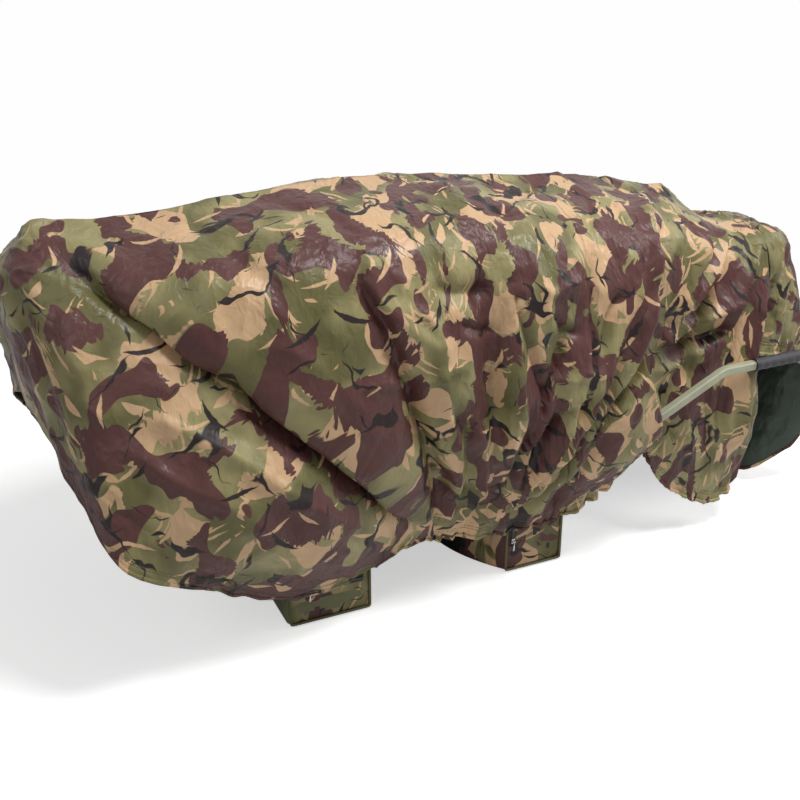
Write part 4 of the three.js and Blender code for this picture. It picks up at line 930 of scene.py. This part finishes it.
grip_start, grip_end, grip_radius, grip_ribs = 0.9873, 1.1273, 0.0140, 6
rib_length = (grip_end - grip_start - 0.014) / grip_ribs
groove = [(0.10, 0), (0.20, 0.0001), (0.27, 0.0005), (0.33, 0.0009), (0.40, 0.0010)]
groove += [(1 - share, drop) for share, drop in reversed(groove)]
grip_profile = [(grip_start, 0.0101), (grip_start, 0.0128), (grip_start + 0.0012, grip_radius)]
for k in range(grip_ribs):
    low = grip_start + 0.005 + k * rib_length
    grip_profile += [(low + rib_length * share, grip_radius - drop) for share, drop in groove]
for turn in range(0, 91, 15):
    grip_profile.append((grip_end - 0.005 + 0.005 * math.sin(math.radians(turn)),
                         0.009 + 0.005 * math.cos(math.radians(turn))))
grip_profile += [(grip_end, 0.004), (grip_end - 0.0012, 0.003), (grip_end - 0.0012, 0.0)]

low, high = 0.9820, 0.9870
collar_edge = [(0.0, 0.0100), (0.0, 0.0143), (0.0004, 0.0151), (0.0012, 0.0155)]
collar_profile = [(low + x, radius) for x, radius in collar_edge]
collar_profile += [(high - x, radius) for x, radius in reversed(collar_edge)]

for side_name, y in (("left", -0.29), ("right", 0.29)):
    for name, node_name, material, slot in (
        ("handle_", "handle_tube_", handle_paint, "frame_paint"),
        ("grip_", "handle_grip_", grip_rubber, "grip_rubber"),
        ("collar_", "grip_collar_", black_plastic, "black_plastic"),
    ):
        shell = bmesh.new()
        if name == "handle_":
            swept_square(shell, handle_path(y), tube_width, tube_corner)
        else:
            turned(shell, grip_profile if name == "grip_" else collar_profile, y, grip_height)
        bmesh.ops.recalc_face_normals(shell, faces=shell.faces)
        piece = new_piece(name + side_name, shell, [material], "handle_" + side_name,
                          [node_name + side_name], slot)
        if name == "handle_":
            piece.modifiers.new("flat_walls", "WEIGHTED_NORMAL").keep_sharp = True

# ---------------------------------------------------------------- frame
# The rails, cross tubes and hoops keep their modelled form. They are seen from
# behind and from below, where the cover is open.


def dress(node_name, material):
    """Gives a CAD node that keeps its modelled form its material."""
    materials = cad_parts[node_name].data.materials
    materials.clear()
    materials.append(material)


for node_name in ["frame_rail_left", "frame_rail_right", "front_rack_hoop", "rear_deck_hoop"] + [
        "cross_tube_%d" % number for number in range(1, 7)]:
    dress(node_name, frame_paint)
for part_name in ("rail_end_cap", "handle_clamp", "clamp_screw"):
    for side_name in ("left", "right"):
        dress("%s_%s" % (part_name, side_name), black_plastic)

# ---------------------------------------------------------------- bags
# Two upright zipped bags hang across the frame and carry it. Their two flat
# ends are printed cloth edged with piping; the long walls between are plain.
olive_cloth = cloth_material("olive_cloth", tint=(0.150, 0.150, 0.075), crumple=0.006)
# The rear bag's walls are near-black cloth; on its sloping front wall the black is also painted shade, where
# the cover's opening lies dark over it.
black_cloth = cloth_material("black_cloth", tint=(0.022, 0.021, 0.022), crumple=0.006)
bag_print = cloth_material("bag_print", crumple=0.006)
bag_height, bag_edge, bag_half_width, bag_corner = 0.3446, 0.012, 0.216, 0.014
rear_zip_x, front_zip_low, front_zip_high = 0.434, 0.055, 0.110


def between(start, end, steps):
    return [start + (end - start) * k / steps for k in range(1, steps)]


def bag_outline(centre, length, bulge):
    """Plan of a bag, from above: corners rounded, and one long wall bulging towards the front."""
    half_width, corner = bag_half_width, bag_corner
    x, y = length / 2 - corner, half_width - corner
    turns = [math.radians(a) for a in range(0, 91, 15)]
    low = [(x + corner * math.sin(turn), -y - corner * math.cos(turn)) for turn in turns]
    side = [(x + corner, across) for across in between(-y, y, 40)]
    high = [(x + corner * math.cos(turn), y + corner * math.sin(turn)) for turn in turns]
    end = math.radians(bulge) if bulge else math.pi / 2
    back = [(-x - corner * math.sin(end * k / 6), y + corner * math.cos(end * k / 6)) for k in range(7)]
    front = [(px, -py) for px, py in reversed(back)]
    top = [(along, half_width) for along in between(x, -x, 14)]
    bottom = [(along, -half_width) for along in between(-x, x, 14)]
    wall_x, wall_y = back[-1]
    tip = wall_x - wall_y / math.tan(end)
    wall = [(wall_x + 2 * t * (1 - t) * (tip - wall_x), wall_y * (1 - 2 * t)) for t in between(0, 1, 40)]
    return np.array(low + side + high + top + back + wall + front + bottom) + np.array([centre, 0.0])


def wall_sag(x, y, z, on_end, from_corner, zipped):
    """How far a place between a bag's top and bottom edges sinks in."""
    soft = min(min(z - bag_edge, bag_height - bag_edge - z) / 0.03, 1.0)
    if on_end:
        soft *= min(max(from_corner, 0) / 0.02, 1.0) * (0.15 if zipped else 1.0)
        return soft * (0.0012 + 0.0120 * abs(noise.noise(Vector((x * 16, y * 5, z * 13)))))
    soft *= min(max(bag_half_width - bag_corner - abs(y), 0) / 0.03, 1.0)
    return soft * (0.0015 + 0.0160 * abs(noise.noise(Vector((x * 5 + 3, y * 14, z * 12)))))


def bag_piece(name, centre, length, bulge, node_name, end_cloth):
    """A soft upright bag: its plan drawn in at the top and bottom edges, with walls that sag and crumple."""
    outline = bag_outline(centre, length, bulge)
    levels = [(bag_edge * (1 - math.cos(math.radians(a))), 1 - math.sin(math.radians(a)))
              for a in range(0, 91, 15)]
    levels += [(bag_edge + (bag_height - 2 * bag_edge) * k / 44, 0.0) for k in range(1, 44)]
    levels += [(bag_height - z, inset) for z, inset in reversed(levels[:7])]
    along = unit(np.roll(outline, -1, 0) - np.roll(outline, 1, 0))
    away = np.stack([along[:, 1], -along[:, 0]], 1)
    shell = bmesh.new()
    place_layer, out_layer = new_layers(shell)
    rings = []
    for z, inset in levels:
        ring = []
        for (x, y), (ax, ay) in zip(outline, away):
            inwards = inset * bag_edge
            if bag_edge < z < bag_height - bag_edge:
                by_zip = abs(x - rear_zip_x) < 0.020 if bulge else front_zip_low < z < front_zip_high
                from_corner = length / 2 - bag_corner - abs(x - centre)
                inwards += wall_sag(x, y, z, abs(ay) > 0.9, from_corner, y < 0 and by_zip)
            vert = shell.verts.new((x - ax * inwards, y - ay * inwards, z))
            vert[place_layer] = Vector((x + 1.7, y, z + 0.4))
            vert[out_layer] = Vector((ax, ay, 0))
            ring.append(vert)
        rings.append(ring)
    for low, high in zip(rings, rings[1:]):
        for k in range(len(outline)):
            face = shell.faces.new((low[k - 1], low[k], high[k], high[k - 1]))
            spot = face.calc_center_median()
            print_from = 0.120 if bulge and spot.x <= centre else 0.2135
            face.material_index = 0 if abs(spot.y) > print_from else 1
    shell.faces.new(rings[0][::-1]).material_index = 1
    shell.faces.new(rings[-1]).material_index = 1
    bmesh.ops.recalc_face_normals(shell, faces=shell.faces)
    bag = new_piece(name, shell, [bag_print, end_cloth], "frame", [node_name], "bag_cloth")


bag_piece("bag_front", 0.0, 0.193, 0, "front_bag", olive_cloth)
# The rear bag's sloping front wall is near-black cloth that also stands in as painted shade inside the cover's
# opening.
bag_piece("bag_rear", 0.488, 0.152, 50, "rear_bag", black_cloth)


def welded(node_name):
    """The modelled form of a CAD node, with its faces joined."""
    shell = bmesh.new()
    shell.from_mesh(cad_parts[node_name].data)
    bmesh.ops.remove_doubles(shell, verts=shell.verts, dist=weld_distance)
    return shell


binding_cloth = cloth_material("binding_cloth", tint=(0.115, 0.112, 0.050), crumple=0.001)
for bag_name in ("front", "rear"):
    for side_name in ("near", "far"):
        node_name = "%s_bag_piping_%s" % (bag_name, side_name)
        new_piece(node_name + "_cord", welded(node_name), [binding_cloth], "frame", [node_name],
                  "bag_binding")

# The zips keep their modelled form, with woven tape and bright metal
zip_tape = cloth_material("zip_tape", tint=(0.020, 0.020, 0.018), crumple=0.0006)
zip_metal = plain_surface("zip_metal", (0.60, 0.59, 0.57), 0.26, 500.0, 0.0002, metallic=0.9)
zip_coil = plain_surface("zip_coil", (0.030, 0.030, 0.028), 0.38, 500.0, 0.0002)
for part_name, material in (("tape", zip_tape), ("coil", zip_coil), ("slider", zip_metal), ("pull", zip_metal)):
    for bag_name in ("front", "rear"):
        dress("%s_zip_%s" % (bag_name, part_name), material)

# ---------------------------------------------------------------- load
# Soft luggage under the cover gives it its shape. It shows only from behind
# and from below, so it is plain dark cloth that slumps a little.
load_cloth = cloth_material("load_cloth", tint=(0.050, 0.054, 0.036), crumple=0.010)
for load_name, node_name in (("bag_carryall", "load_carryall"), ("bag_holdall", "load_holdall"),
                             ("bag_on_deck", "load_rear_bag")):
    sack = welded(node_name)
    bmesh.ops.recalc_face_normals(sack, faces=sack.faces)
    piece = new_piece(load_name, sack, [load_cloth], "frame", [node_name], "load_cloth")
    weave = piece.modifiers.new("even_cloth", "REMESH")
    weave.mode = "VOXEL"
    weave.voxel_size = 0.011
    weave.use_smooth_shade = True
    soften = piece.modifiers.new("slump", "SMOOTH")
    soften.factor = 0.5
    soften.iterations = 14
